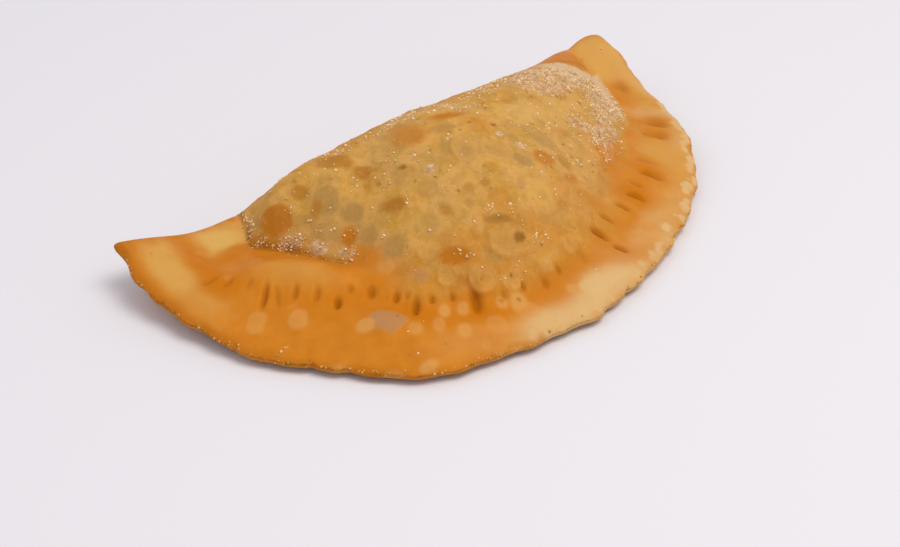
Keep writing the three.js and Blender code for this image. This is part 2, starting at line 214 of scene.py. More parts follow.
@dataclass(frozen=True)
class Plan:
    """The pastry's outline from above, in mm.

    X runs along the fold from tip to tip and +Y is the fold side. Angles are in degrees about a hub
    near the middle of the fold: 0 is the right tip, 90 the front of the rim and 180 the left tip.
    crimp is where the fork marks' inner ends lie, and foot is where the belly begins.
    """

    hub_x: float = -9.5
    hub_y: float = -19.0
    rim_radius: float = 100.4
    lobes: tuple[Lobe, ...] = (
        Lobe(126, 26, 7.1),
        Lobe(153, 14, 2.9),
        Lobe(173, 9, 2.2),
        Lobe(18, 27, 7.7),
        Lobe(-12, 15, 7.0),
        Lobe(8, 11, -2.6),
        Lobe(42, 11, 1.0),
        Lobe(88.5, 6.5, 1.5),
        Lobe(121.5, 5.5, 2.4),
        Lobe(140, 5, -1.4),
    )
    tatter: float = 0.3
    tatter_waves: tuple[int, int] = (29, 53)
    fold_y: float = -6.0
    fold_dip: float = 8.8
    fold_dip_at: float = -9.5
    fold_half_length: float = 108.0
    fold_fullness: float = 2.6
    left_rounding: float = 1.2
    right_rounding: float = 11.8
    rounding_change: Step = Step(-40, 120)
    crimp: Inset = Inset(13.5, (Lobe(66, 16, 4.0), Lobe(134, 28, 18.5)), Step(150, 25, 8.0))
    foot: Inset = Inset(16.0, (Lobe(46, 24, 9.5), Lobe(168, 6.5, -5.0)), Step(90, 55, 27.0))

    def polar(self, x: Array, y: Array) -> tuple[Array, Array]:
        """Radius and angle about the hub.

        Args:
            x: plan coordinates along the fold.
            y: plan coordinates across it.

        Returns:
            The radius in mm and the angle in degrees, from -90 to 270.
        """
        dx = x - self.hub_x
        dy = self.hub_y - y
        turn = np.degrees(np.arctan2(dy, dx))
        return np.hypot(dx, dy), np.where(turn < -90.0, turn + 360.0, turn)

    def from_polar(self, radius: Array, angle: Array) -> Array:
        """The plan points at a radius and an angle about the hub, as rows of x and y."""
        turn = np.radians(angle)
        x, y = self.hub_x + radius * np.cos(turn), self.hub_y - radius * np.sin(turn)
        return np.stack([x, y], axis=-1)

    def rim_at(self, angle: Array) -> Array:
        """The rim's radius about the hub, without its tatter."""
        return self.rim_radius + sum(lobe.at(angle) for lobe in self.lobes)

    def tatter_at(self, angle: Array) -> Array:
        """How far the torn rim strays from its curve."""
        turn = np.radians(angle)
        return self.tatter * sum(np.sin(turn * waves) for waves in self.tatter_waves)

    def fold_at(self, x: Array) -> Array:
        """The y of the folded edge."""
        along = clamp01(np.abs((x - self.fold_dip_at) / self.fold_half_length))
        return self.fold_y - self.fold_dip * (1.0 - along**self.fold_fullness)

    def place(self, x: Array, y: Array) -> Place:
        """How far points lie inside the rim, the fold, and the rounded outline of both."""
        radius, angle = self.polar(x, y)
        rim = self.rim_at(angle) - radius
        fold = self.fold_at(x) - y
        blend = lerp(self.left_rounding, self.right_rounding, self.rounding_change.at(x))
        edge = smooth_min(rim + self.tatter_at(angle), fold, blend)
        return Place(x, y, angle, rim, fold, edge)


@dataclass(frozen=True)
class Lift:
    """How much higher the dough lies near one point of the plan: the point, the reach and the height."""

    x: float
    y: float
    reach: float
    height: float


@dataclass(frozen=True)
class Roll:
    """A smooth roll of dough: its middle and its direction in the plan, and its size in mm."""

    middle: tuple[float, float] = (-72.0, -56.0)
    along: tuple[float, float] = (0.62, -0.78)
    length: float = 20.0
    width: float = 9.0
    height: float = 6.0

    def at(self, place: Place) -> Array:
        """Its height at each place."""
        dx, dy = place.x - self.middle[0], place.y - self.middle[1]
        along = dx * self.along[0] + dy * self.along[1]
        across = dy * self.along[0] - dx * self.along[1]
        return self.height * bump(along / self.length) * bump(across / self.width)


@dataclass(frozen=True)
class Furrow:
    """The shallow furrow that the fork leaves under its marks, in mm, and the angles it runs between."""

    depth: float = 1.0
    width: float = 6.0
    outside_crimp: float = 4.0
    begins: Step = Step(-8, 10)
    ends: Step = Step(160, -10)

    def at(self, place: Place, crimp: Inset) -> Array:
        """Its depth at each place."""
        marked = self.begins.at(place.angle) * self.ends.at(place.angle)
        across = place.rim - crimp.at(place.angle) + self.outside_crimp
        return self.depth * marked * bump(across / self.width)


@dataclass(frozen=True)
class Band:
    """The broad first press of the fork across the left tip: its ends in the plan, its size in mm."""

    start: tuple[float, float] = (-92.0, -6.0)
    end: tuple[float, float] = (-84.0, -36.0)
    width: float = 4.0
    depth: float = 1.1

    def at(self, place: Place) -> Array:
        """Its depth at each place."""
        run_x, run_y = self.end[0] - self.start[0], self.end[1] - self.start[1]
        dx, dy = place.x - self.start[0], place.y - self.start[1]
        share = clamp01((dx * run_x + dy * run_y) / (run_x**2 + run_y**2))
        return self.depth * bump(np.hypot(dx - run_x * share, dy - run_y * share) / self.width)


@dataclass(frozen=True)
class Blister:
    """A puffed place in the fried dough: its middle in the plan, its radius and its height in mm."""

    x: float
    y: float
    radius: float
    height: float

    def at(self, place: Place) -> Array:
        """Its height at each place."""
        return self.height * bump((np.hypot(place.x - self.x, place.y - self.y) / self.radius) ** 2)


BLISTERS: tuple[Blister, ...] = (
    Blister(-65, -32, 6, 0.7),
    Blister(-53, -43.5, 5.5, 0.6),
    Blister(-20, -44, 6.5, 0.6),
    Blister(2.5, -52, 6, 0.6),
    Blister(-12, -59.5, 6.5, 0.6),
    Blister(13, -73, 5.5, 0.6),
    Blister(3, -82.5, 5.5, 0.6),
    Blister(-19.5, -91, 8, 0.8),
    Blister(-32.5, -95.5, 4.5, 0.7),
    Blister(-66, -88, 5.5, 0.7),
    Blister(4, -111, 11, 1.1),
    Blister(35, -100.5, 8, 0.8),
)


@dataclass(frozen=True)
class Form:
    """The heights of the dough's upper and lower face over the plan, in mm.

    The flange droops within droop_width of the rim, between two angles. The belly rises from its foot
    over the front run, which is shorter at both ends, and falls to the fold over the back run.
    """

    plan: Plan = Plan()
    thickness: float = 4.2
    edge_rounding: float = 2.5
    flange_height: float = 8.0
    front_droop: float = 4.5
    droop_width: float = 22.0
    droop_begins: Step = Step(20, 30)
    droop_ends: Step = Step(175, -30)
    lifts: tuple[Lift, ...] = (
        Lift(-111, -5, 38, 6.4),
        Lift(-68, -14, 21, 1.7),
        Lift(103, -7, 48, 12.1),
        Lift(74, -10, 26, 2.4),
    )
    belly_height: float = 27.3
    belly_depth: float = 9.0
    front_run: float = 52.0
    steeper_left: Step = Step(130, 35, 17.8)
    steeper_right: Step = Step(35, -35, 20.5)
    back_run: float = 31.7
    slope: float = 2.2
    foot_softness: float = 3.5
    foot_shift: float = 0.2
    soft_begins: Step = Step(12, 20)
    soft_ends: Step = Step(140, -12)
    swells: tuple[Lobe, ...] = (Lobe(-9, 12, 0.065), Lobe(-43, 12, -0.08), Lobe(-66, 7, 0.1))
    lower_right: Step = Step(5, 60, 0.12)
    relief_margin: float = 12.0
    roll: Roll = Roll()
    furrow: Furrow = Furrow()
    band: Band = Band()
    blisters: tuple[Blister, ...] = BLISTERS

    def middle(self, place: Place) -> Array:
        """The height of the dough's mid-plane outside the belly."""
        to_rim = smooth(1 - place.rim / self.droop_width)
        to_front = self.droop_begins.at(place.angle) * self.droop_ends.at(place.angle)
        height = self.flange_height - self.front_droop * to_rim * to_front
        for lift in self.lifts:
            away = np.hypot(place.x - lift.x, place.y - lift.y)
            height = height + lift.height * smooth(1 - away / lift.reach)
        return height

    def from_foot(self, place: Place) -> Array:
        """How far in from the belly's foot points lie, rounded off where the foot is soft."""
        soft = self.foot_softness * self.soft_begins.at(place.angle) * self.soft_ends.at(place.angle)
        inside = place.rim - self.plan.foot.at(place.angle) - self.foot_shift * soft
        return (inside + np.hypot(inside, soft)) / 2

    def belly(self, place: Place) -> Array:
        """How far the belly has risen: 0 at its foot and at the fold, 1 at its full height."""
        run = self.front_run - self.steeper_left.at(place.angle) - self.steeper_right.at(place.angle)
        front = 1 - (1 - clamp01(self.from_foot(place) / run)) ** self.slope
        back = np.sqrt(1 - (1 - clamp01(place.fold / self.back_run)) ** 2)
        swelling = sum(swell.at(place.x) for swell in self.swells)
        return front * back * (1 - self.lower_right.at(place.x) + swelling)

    def half(self, place: Place) -> Array:
        """Half the dough's thickness, rounded off at the outline."""
        return self.thickness / 2 * np.sqrt(1 - (1 - clamp01(place.edge / self.edge_rounding)) ** 2)

    def top(self, place: Place) -> Array:
        """The height of the upper face."""
        puffed = np.max([blister.at(place) for blister in self.blisters], axis=0)
        pressed = self.furrow.at(place, self.plan.crimp) + self.band.at(place)
        relief = self.roll.at(place) + puffed - pressed
        rise = self.belly_height * self.belly(place)
        margin = smooth(place.edge / self.relief_margin)
        return self.middle(place) + self.half(place) + rise + margin * relief

    def under(self, place: Place) -> Array:
        """The height of the lower face, which sags until it lies flat on the ground."""
        sag = self.belly_depth * self.belly(place)
        return np.maximum(self.middle(place) - self.half(place) - sag, 0.0)


# ---- Fork marks ----------------------------------------------------------------------------------


@dataclass(frozen=True)
class ForkMark:
    """One press of a tine: its middle in the plan, its direction in degrees from +X, its size in mm."""

    x: float
    y: float
    turn: float
    length: float
    width: float
    depth: float


FORK_MARKS: tuple[ForkMark, ...] = tuple(
    ForkMark(*row)
    for row in (
        (-94.5, -38, 173, 7, 2.2, 0.9), (-91, -43, -171, 5, 2.0, 0.9),
        (-87, -48.5, -158, 4.5, 1.8, 0.7), (-86.5, -56, -136, 10.5, 1.6, 1.5),
        (-84, -59, -121, 8.5, 1.5, 0.7), (-79, -61.5, -142, 5.5, 1.8, 1.1),
        (-74.5, -66.5, -139, 5.5, 1.8, 1.0), (-71.5, -73, -129, 5.5, 2.0, 2.0),
        (-65, -71, -127, 3.5, 1.7, 1.1), (-60.5, -75.5, -129, 6, 2.6, 1.5),
        (-56, -82, -132, 5, 1.9, 1.6), (-53.5, -84, -124, 3.5, 1.6, 0.9),
        (-54, -89, -130, 8, 2.0, 1.9), (-48.5, -90, -131, 3.2, 1.6, 1.5),
        (-43, -93, -128, 3.2, 1.6, 1.4), (-38.5, -98.5, -117, 10.5, 3.0, 2.3),
        (-30, -102, -120, 4, 1.8, 0.9), (-23, -103, -115, 2.6, 1.4, 1.2),
        (-16, -105.5, -111, 3.6, 2.4, 1.0), (-9.5, -104.5, -102, 2.6, 1.4, 1.1),
        (1.5, -103, -63, 5, 3.0, 0.8), (15, -97.5, -45, 6.5, 2.3, 2.0),
        (18, -104, -62, 5.5, 2.1, 1.7), (23, -92.5, -48, 5, 1.8, 1.3),
        (33, -89.5, -62, 5.5, 1.9, 1.4), (42, -87, -48, 7.5, 3.0, 2.0),
        (46.5, -82, -65, 5.5, 2.6, 1.0), (56, -80, -45, 9, 3.2, 1.8),
        (60.5, -73.5, -42, 9, 3.2, 1.1), (75, -62.3, -48, 9.5, 4.0, 1.9),
        (80, -56, -60, 12, 3.8, 2.0), (88, -43.6, -43, 9, 3.4, 0.6),
        (85.5, -34, -70, 7.5, 3.2, 1.0),
    )
)


@dataclass(frozen=True)
class ForkMarks:
    """The uneven row of fork marks that seals the dough.

    A mark is a bent slit with lips, and shade is painted inside it. Past a width it is broad: one side
    is gentle, the other steep, and its painted shade is lighter. Slopes, bend and reach are in half
    lengths and half widths of a mark.
    """

    marks: tuple[ForkMark, ...] = FORK_MARKS
    broad_from: Step = Step(2.4, 1.4)
    bend: float = 0.35
    bend_middle: float = 0.4
    narrow_slope: float = 1.2
    gentle_slope: float = 0.75
    steep_slope: float = 1.45
    end_power: float = 1.6
    end_slope: float = 1.3
    lip_height: float = 0.16
    lip: Lobe = Lobe(2.2, 0.8)
    full_depth: float = 1.8
    narrow_slit_shade: float = 1.1
    broad_slit_shade: float = 0.5
    reach_along: float = 1.3
    reach_across: float = 3.0

    def press(self, place: Place) -> tuple[Array, Array, Array]:
        """The marks' depth below the dough.

        Args:
            place: the points to press.

        Returns:
            The depth in mm, less than nothing on the lips beside a mark; how deep in a mark each point
            is, from 0 to 1, which sets the shade painted in the slit; and how near it is to one, from 0
            to 1.
        """
        depth, inside, near = (np.zeros(len(place.x)) for _ in range(3))
        for mark in self.marks:
            along, across = turned(place.x - mark.x, place.y - mark.y, mark.turn)
            along = along / (mark.length / 2)
            across = across / (mark.width / 2) + self.bend * (along**2 - self.bend_middle)
            broad = float(self.broad_from.at(mark.width))
            gentle = lerp(self.narrow_slope, self.gentle_slope, broad)
            steep = lerp(self.narrow_slope, self.steep_slope, broad)
            slit = bump(np.abs(along) ** self.end_power * self.end_slope)
            slit = slit * bump(across * np.where(across > 0, gentle, steep))
            depth += mark.depth * (slit - self.lip_height * bump(along) * self.lip.at(np.abs(across)))
            # How much shade is painted in the slit: less in shallow marks, and less again in broad ones.
            weight = min(mark.depth / self.full_depth, 1.0)
            slit_shade = lerp(self.narrow_slit_shade, self.broad_slit_shade, broad)
            inside = np.maximum(inside, slit * weight * slit_shade)
            beside = bump(along / self.reach_along) * bump(across / self.reach_across)
            near = np.maximum(near, beside * weight)
        return depth, inside, near


# ---- Patches and drifts of sugar -----------------------------------------------------------------


class Tint(Enum):
    """The colours that frying leaves on the dough. The crust keeps each one as an attribute."""

    GOLDEN = "golden"
    AMBER = "amber"
    BROWNED = "browned"
    TOASTED = "toasted"
    CLEAR = "clear"
    PALE = "pale"
    DULL = "dull"
    FLOURY = "floury"
    PIT = "pit"


@dataclass(frozen=True)
class Stain:
    """What a patch does to the crust.

    It has a tint and hides other tints by a share. dome and lip are its relief, as shares of its size.
    Its edge is softness mm wide, hollow is how far its middle stays free of the tint, and rimmed is how
    dry and pale its contour is.
    """

    tint: Tint
    hides: float
    dome: float
    lip: float
    softness: float
    hollow: float = 0.0
    rimmed: float = 0.0


class Patch(Enum):
    """The kinds of patch that frying leaves on the dough. A few glows in the washes are painted
    highlights instead, and a few blushes painted shade.
    """

    GLOW = Stain(Tint.GOLDEN, 0.8, 0.0, 0.0, 9.0)
    MEAL = Stain(Tint.FLOURY, 0.8, 0.0, 0.0, 8.0)
    BLUSH = Stain(Tint.AMBER, 0.6, 0.0, 0.0, 7.0)
    SCORCH = Stain(Tint.BROWNED, 0.9, -0.2, 0.1, 1.6, 0.0, 0.12)
    TOAST = Stain(Tint.TOASTED, 0.9, -0.2, 0.1, 1.6, 0.0, 0.1)
    CLEAR = Stain(Tint.CLEAR, 0.8, 0.2, 0.1, 1.3, 0.0, 0.4)
    PALE = Stain(Tint.PALE, 0.6, 0.7, 0.1, 1.1, 0.15, 0.3)
    DULL = Stain(Tint.DULL, 0.8, 0.45, 0.1, 1.1, 0.0, 0.25)
    RING = Stain(Tint.PALE, 0.5, -0.2, 0.8, 0.9, 0.85)
    CRUMBLE = Stain(Tint.FLOURY, 0.5, 0.5, 0.1, 0.9)
    PIN = Stain(Tint.PIT, 0.9, -0.9, 0.25, 0.7)


@dataclass(frozen=True)
class Spot:
    """One patch: its kind, its middle in the plan, its length and width in mm, and its strength.

    turn is the angle in degrees from +X to its length.
    """

    kind: Patch
    x: float
    y: float
    length: float
    width: float
    strength: float = 1.0
    turn: float = -40.0


def patches(kind: Patch, *rows: tuple[float, ...]) -> tuple[Spot, ...]:
    """Patches of one kind, from rows of x, y, length, width, strength and turn."""
    return tuple(Spot(kind, *row) for row in rows)


WASHES: tuple[Spot, ...] = (
    *patches(
        Patch.GLOW,
        # The glow at (-74, -57) is a painted highlight on the roll.
        (-102, -30, 38, 13, 0.55, -88), (-82, -21, 26, 14, 0.8, -20), (-74, -57, 22, 8, 0.3, -52),
    ),
    *patches(
        Patch.MEAL,
        (-2, -113.5, 64, 14, 1.0, 12), (-20, -117, 34, 10, 0.9, -4), (46, -99, 44, 7, 0.3, 30),
        (31, -108.5, 22, 6, 0.9, 18),
    ),
    *patches(
        Patch.GLOW,
        (56, -91, 62, 14, 0.25, 32), (76, -66, 44, 22, 0.4, 50),
    ),
    *patches(Patch.MEAL, (80, -67, 16, 6, 0.4, 50)),
    # Pale dough on the right tip, with a painted highlight on it.
    *patches(Patch.GLOW, (91, -30, 46, 22, 0.55, 100)),
    *patches(
        Patch.MEAL,
        (93, -20, 22, 12, 0.15, 110), (93, -38, 20, 8, 0.4, 110), (36, -101, 26, 9, 0.35, 30),
        (-50, -110, 26, 10, 0.15, -18), (85, -51, 24, 7, 0.5, -50),
    ),
    *patches(
        Patch.GLOW,
        (26, -52, 26, 10, 0.4, 0), (3, -82, 12, 10, 0.4), (-48, -25, 30, 14, 0.3, -20),
        (-41, -75, 16, 10, 0.25, -40),
    ),
    *patches(
        Patch.BLUSH,
        (-110, -6, 15, 13, 1.0), (-112, -10, 20, 12, 0.8, -80), (-90.5, -25, 32, 8, 0.95, -95),
        (-93, -42, 14, 10, 0.9, -50), (-111.5, -30, 42, 6, 0.7, -86), (-78, -31, 16, 6, 0.9, -22),
        (-66, -79, 56, 13, 0.45, -40), (-38, -100, 22, 13, 0.65, -30), (-21, -105, 18, 10, 0.5, 0),
        (-53, -64, 11, 8, 0.6, -30), (13, -96, 16, 11, 0.45, -37), (18, -103, 10, 7, 0.35, -60),
        (23, -91, 14, 9, 0.4, -45), (41, -86, 16, 10, 0.6, -48), (57, -77, 18, 12, 0.4, -58),
        (78, -59, 16, 14, 0.4, -66), (21, -86, 15, 8, 0.55, -35), (45, -74, 12, 9, 0.35, -50),
        # The blush at (66, -19) is painted shade: a darker streak in the hollow between the cap's back
        # and the right tip.
        (66, -19, 24, 9, 1.0, -6), (14, -84, 30, 14, 0.35, -40), (-15, -28, 76, 8, 0.5, -3),
        (1, -55, 10, 9, 0.45, -25), (47, -67, 20, 12, 0.8, 40), (44, -59, 7, 6, 0.6),
        (-50, -78, 20, 10, 0.15), (-34, -88, 40, 14, 0.5), (-12, -94, 34, 12, 0.5, -20),
        (10, -90, 22, 10, 0.3, -10), (84, -36, 12, 9, 0.5, -70), (13, -106.5, 30, 8, 0.55, -12),
        (-5, -105.5, 26, 7, 0.85, 8), (-13.5, -109.5, 14, 8, 0.7, 10), (-55, -94.5, 16, 8, 0.8),
        # (66, -19) again: more painted shade in the hollow at the cap's back.
        (-105, -41, 10, 8, 0.3), (66, -19, 20, 7, 0.5, -6), (68, -60, 12, 10, 0.2, -50),
        (-10, -31, 90, 6, 0.35, -2),
    ),
)
MAIN_SPOTS: tuple[Spot, ...] = (
    *patches(Patch.SCORCH, (-112, -7, 17, 10, 0.8, -78)),
    *patches(
        Patch.CLEAR,
        (-53, -43.5, 10, 10.5, 0.95), (-58, -49, 14, 6, 0.75), (-61, -42, 12, 5, 0.55),
        (-48.5, -51, 7.5, 7.5, 0.95), (-52, -55, 9, 6, 0.6), (-49, -60.5, 6.5, 6, 0.9),
        (-47, -70.5, 7.5, 7, 0.75, -62), (-12.5, -64, 8.5, 8.5, 0.9), (-11, -51, 8, 7, 0.7),
        (-16.5, -60, 7, 9, 0.7), (-8, -63, 5, 7, 0.5), (-3.5, -68.5, 9.5, 8.5, 0.65, -15),
        (2.5, -73.5, 8, 6, 1.0), (-5.5, -82, 2.5, 5, 1.0), (19, -63, 16, 8, 0.6),
        (-29.5, -67, 5.5, 5.5, 0.5), (-33, -57, 8, 8, 0.4),
    ),
    *patches(Patch.SCORCH, (-66.5, -35, 10.5, 10.5, 0.88, -53)),
    *patches(
        Patch.TOAST,
        (-57, -35.5, 6, 5, 0.8), (-56.5, -43, 3.6, 7, 0.7, -56), (-40, -61.5, 9, 5, 0.85, -62),
        (-38.5, -44, 6, 5.7, 0.9, -52), (-43, -34, 12, 7, 0.8, -50),
    ),
    *patches(
        Patch.SCORCH,
        (-20.5, -45.5, 13, 12, 0.4), (-20.5, -46, 9.5, 8, 0.75, -62),
    ),
    *patches(Patch.TOAST, (-20.5, -46, 7, 6, 0.4, -62)),
    *patches(Patch.SCORCH, (-5, -45.5, 11, 4.2, 0.9, -23)),
    *patches(Patch.TOAST, (21.5, -45.5, 8, 5, 0.4, 0)),
    *patches(Patch.CLEAR, (-55.5, -52.5, 7, 5, 0.9)),
    *patches(
        Patch.SCORCH,
        (-53, -55, 4.8, 7.5, 1.0, -49), (-75.5, -29.5, 10, 4, 0.5, -25), (13, -73, 11, 7, 0.8, -10),
        (19, -79.5, 7.5, 4, 0.7, 9), (31.5, -62, 6, 4, 0.4),
    ),
    *patches(
        Patch.TOAST,
        (-21, -75, 4, 4, 0.65), (-30.5, -75, 5, 4, 0.6, -45),
    ),
    *patches(Patch.SCORCH, (-15, -83, 7.5, 7.5, 0.4, -32)),
    *patches(Patch.PIN, (-19.5, -87, 8, 2.6, 0.6, -32)),
    *patches(Patch.CLEAR, (-21, -93, 9, 6, 0.45, -30)),
    *patches(
        Patch.TOAST,
        (6, -89, 6.5, 4, 0.55, 0), (-22.5, -89.5, 9, 5, 0.4, -30),
    ),
    *patches(
        Patch.SCORCH,
        (-36.5, -92, 8, 5, 0.45), (-35.5, -86, 11, 6, 0.95, -41), (21, -86.5, 14, 6, 0.3),
    ),
    *patches(Patch.DULL, (-65, -89, 11, 9, 1.0)),
    *patches(Patch.PALE, (-71, -86.5, 5.5, 5, 1.2)),
    *patches(Patch.DULL, (-46.5, -82.5, 5, 4.5, 0.6)),
    *patches(
        Patch.PALE,
        (-94.5, -62.5, 5.2, 8, 0.5), (-84.5, -70.5, 6, 7.5, 0.6), (-61, -97, 4, 4.5, 0.6),
        (-86, -92.5, 3.5, 2, 0.6), (-48.5, -96, 3, 5.5, 0.95), (-43.5, -98.5, 3, 5, 0.8),
        (-54, -100, 3, 6, 0.6), (-49, -106, 4, 4.7, 0.75), (-66.5, -110, 6, 3.4, 0.9, 0),
        (34, -100.5, 6.5, 5, 0.6, 20), (-8.7, -111, 4.5, 3, 0.7),
    ),
    *patches(Patch.CRUMBLE, (-3, -113.5, 9, 6, 1.0)),
    *patches(
        Patch.PALE,
        (-27, -110, 8, 6, 0.5), (-39, -109.5, 6, 7, 0.45), (-47, -113.5, 2.5, 3.5, 0.4),
        (-32, -103.5, 3.5, 4.5, 0.7), (-27.5, -106, 4.5, 6, 0.85), (-12.5, -102, 4.5, 3.2, 0.8),
        (35, -100.5, 8, 8, 0.3), (-64, -42.5, 11, 4.5, 0.6, -50), (-68, -19, 10, 5, 0.6, 60),
        (-41.5, -70, 3, 2.6, 0.8), (-43, -75, 2.8, 2.6, 1.0), (-51.5, -72, 5, 4, 0.6),
        (-41, -79, 5, 5, 0.4), (-25, -84.5, 2.2, 6, 0.8, -34), (-1, -85.5, 11, 8.5, 0.45, -6),
        (-7, -78.5, 7, 8.5, 0.35, -12), (26, -52, 24, 9, 0.5, 0), (33.5, -68, 12, 9, 0.35),
    ),
    *patches(
        Patch.RING,
        (-20, -93, 13, 9, 0.6, -30), (-35.5, -89.5, 5, 3.7, 0.4), (-40.5, -87.5, 5.5, 6, 0.8),
        (-32.5, -95.5, 8.5, 8.5, 0.7), (-32, -95.5, 4.5, 4.5, 0.4), (-25, -100, 6.5, 5.5, 0.9),
        (-12.5, -99, 8.3, 6.6, 0.4), (3.5, -94, 10.5, 4.5, 0.4), (-38, -51.5, 4.8, 6, 0.4),
        (-36, -57.5, 5.4, 7.8, 0.3), (5, -56.5, 4.2, 6, 0.5), (-3.5, -68.5, 10.5, 9.5, 0.7, -15),
        (-12.5, -64, 9.5, 9, 0.6), (-29.5, -67, 5.5, 5.5, 0.3),
    ),
    *patches(
        Patch.PIN,
        (-16.5, -94, 3.4, 3.2, 0.8), (4.5, -57, 2.2, 1.4, 1.0), (-31, -55, 2.2, 1.6, 0.9),
        (-38, -51.5, 1.3, 1.4, 0.8), (-26, -62, 1.6, 1.6, 0.3),
    ),
    *patches(Patch.TOAST, (58.5, -47.5, 3.5, 3, 0.6)),
    *patches(
        Patch.PIN,
        (-24.5, -99, 1.0, 1.0, 0.9), (-26.5, -101, 0.9, 0.9, 0.8), (-32, -103, 0.9, 1.0, 0.8),
        (-27, -105.5, 1.0, 1.0, 0.8), (-33, -95, 1.0, 1.0, 0.7), (-62, -90, 0.8, 0.8, 0.8),
    ),
)


@dataclass(frozen=True)
class SpotField:
    """A crowd of small patches over part of the crust.

    Most are near the smallest size, and roundness is the least share of its length that a patch is wide.
    """

    kind: Patch
    count: int
    smallest: float
    largest: float
    weakest: float
    strongest: float
    smallness: float = 1.6
    roundness: float = 0.8

    def spot(self, middle: Array, rng: np.random.Generator) -> Spot:
        """One patch of the crowd, drawn at random, at a point of the crust."""
        size = lerp(self.smallest, self.largest, rng.random() ** self.smallness)
        strength = rng.uniform(self.weakest, self.strongest)
        width = size * rng.uniform(self.roundness, 1.0)
        return Spot(self.kind, *middle[:2], size, width, strength, rng.uniform(0, 180))


BELLY_FIELDS: tuple[SpotField, ...] = (
    SpotField(Patch.CLEAR, 140, 2.0, 7.5, 0.2, 0.55),
    SpotField(Patch.SCORCH, 60, 1.5, 6.0, 0.1, 0.4),
    SpotField(Patch.TOAST, 90, 1.5, 6.5, 0.15, 0.6),
    SpotField(Patch.PALE, 150, 1.5, 6.0, 0.15, 0.5),
    SpotField(Patch.RING, 130, 2.0, 7.0, 0.2, 0.6),
    SpotField(Patch.PIN, 150, 0.6, 1.5, 0.3, 0.9),
)
RIM_FIELDS: tuple[SpotField, ...] = (SpotField(Patch.CRUMBLE, 110, 1.2, 3.6, 0.8, 1.0),)
FLANGE_FIELDS: tuple[SpotField, ...] = (
    SpotField(Patch.PALE, 26, 1.5, 4.5, 0.1, 0.3),
    SpotField(Patch.PIN, 4, 0.6, 1.0, 0.3, 0.7),
)
UNDER_FIELDS: tuple[SpotField, ...] = (
    SpotField(Patch.SCORCH, 110, 3.0, 14.0, 0.15, 0.7),
    SpotField(Patch.PALE, 90, 3.0, 9.0, 0.2, 0.6),
    SpotField(Patch.RING, 40, 3.0, 8.0, 0.3, 0.8),
)


@dataclass(frozen=True)
class Sprinkle:
    """A drift of sugar: its middle in the plan, its size in mm, its turn and its thickness."""

    x: float
    y: float
    length: float
    width: float
    turn: float
    thickness: float


SPRINKLES: tuple[Sprinkle, ...] = tuple(
    Sprinkle(*row)
    for row in (
        (5, -39.5, 22, 13, -8, 0.68), (22, -36, 18, 9, -8, 0.65), (42, -38, 30, 18, -4, 1.0),
        (62, -36, 26, 15, 5, 0.95), (78, -38, 14, 10, 60, 1.0), (67, -46, 34, 13, 34, 1.0),
        (55, -58.5, 14, 9, 45, 0.9), (44, -59.5, 16, 6, -20, 1.0), (47, -65, 17, 10, 40, 0.9),
        (40, -69, 14, 8, 20, 0.5), (49, -52, 20, 5, 30, 0.35), (42, -58, 12, 7, 60, 0.5),
        (38, -64, 9, 6, 60, 0.5), (24, -58, 26, 9, -10, 0.2), (28, -72, 20, 4, -10, 0.3),
        (14, -71, 5, 8, -30, 0.4), (-25.5, -61.5, 3.5, 3, 0, 1.0), (-16, -84, 16, 3.5, -20, 0.35),
        (-32, -75, 5, 4, 0, 0.3), (-17, -86.5, 9, 3, -30, 0.4), (-38, -31, 32, 5, -4, 0.6),
        (-58, -25, 18, 4, 20, 0.4), (-10, -34, 34, 8, -3, 0.7), (-69, -24, 15, 3, 66, 0.6),
        (-71, -34, 9, 2.5, -59, 0.5), (-65.5, -41.5, 9, 3, -52, 0.85),
        (-61.5, -50.5, 6.5, 3.2, -54, 1.0), (-59, -54, 7, 2, -50, 0.6),
        (-56, -57.5, 7, 3.6, -52, 0.75), (-60, -47, 16, 8, -55, 0.15), (3.5, -61.5, 3, 3, 0, 0.9),
        (7, -67.5, 4, 3, 0, 0.9), (-10, -96.5, 7, 4, -30, 0.6), (-31, -91, 5, 9, 0, 0.35),
        (77, -79, 12, 3, -50, 0.4), (-94, -76.5, 6, 2.5, 20, 0.5),
    )
)


# ---- What lies on the crust ----------------------------------------------------------------------


@dataclass(frozen=True)
class PlacedSpot:
    """A patch with its middle on the crust, in mm, and whether that is on the upper face."""

    spot: Spot
    middle: Array
    is_above: bool


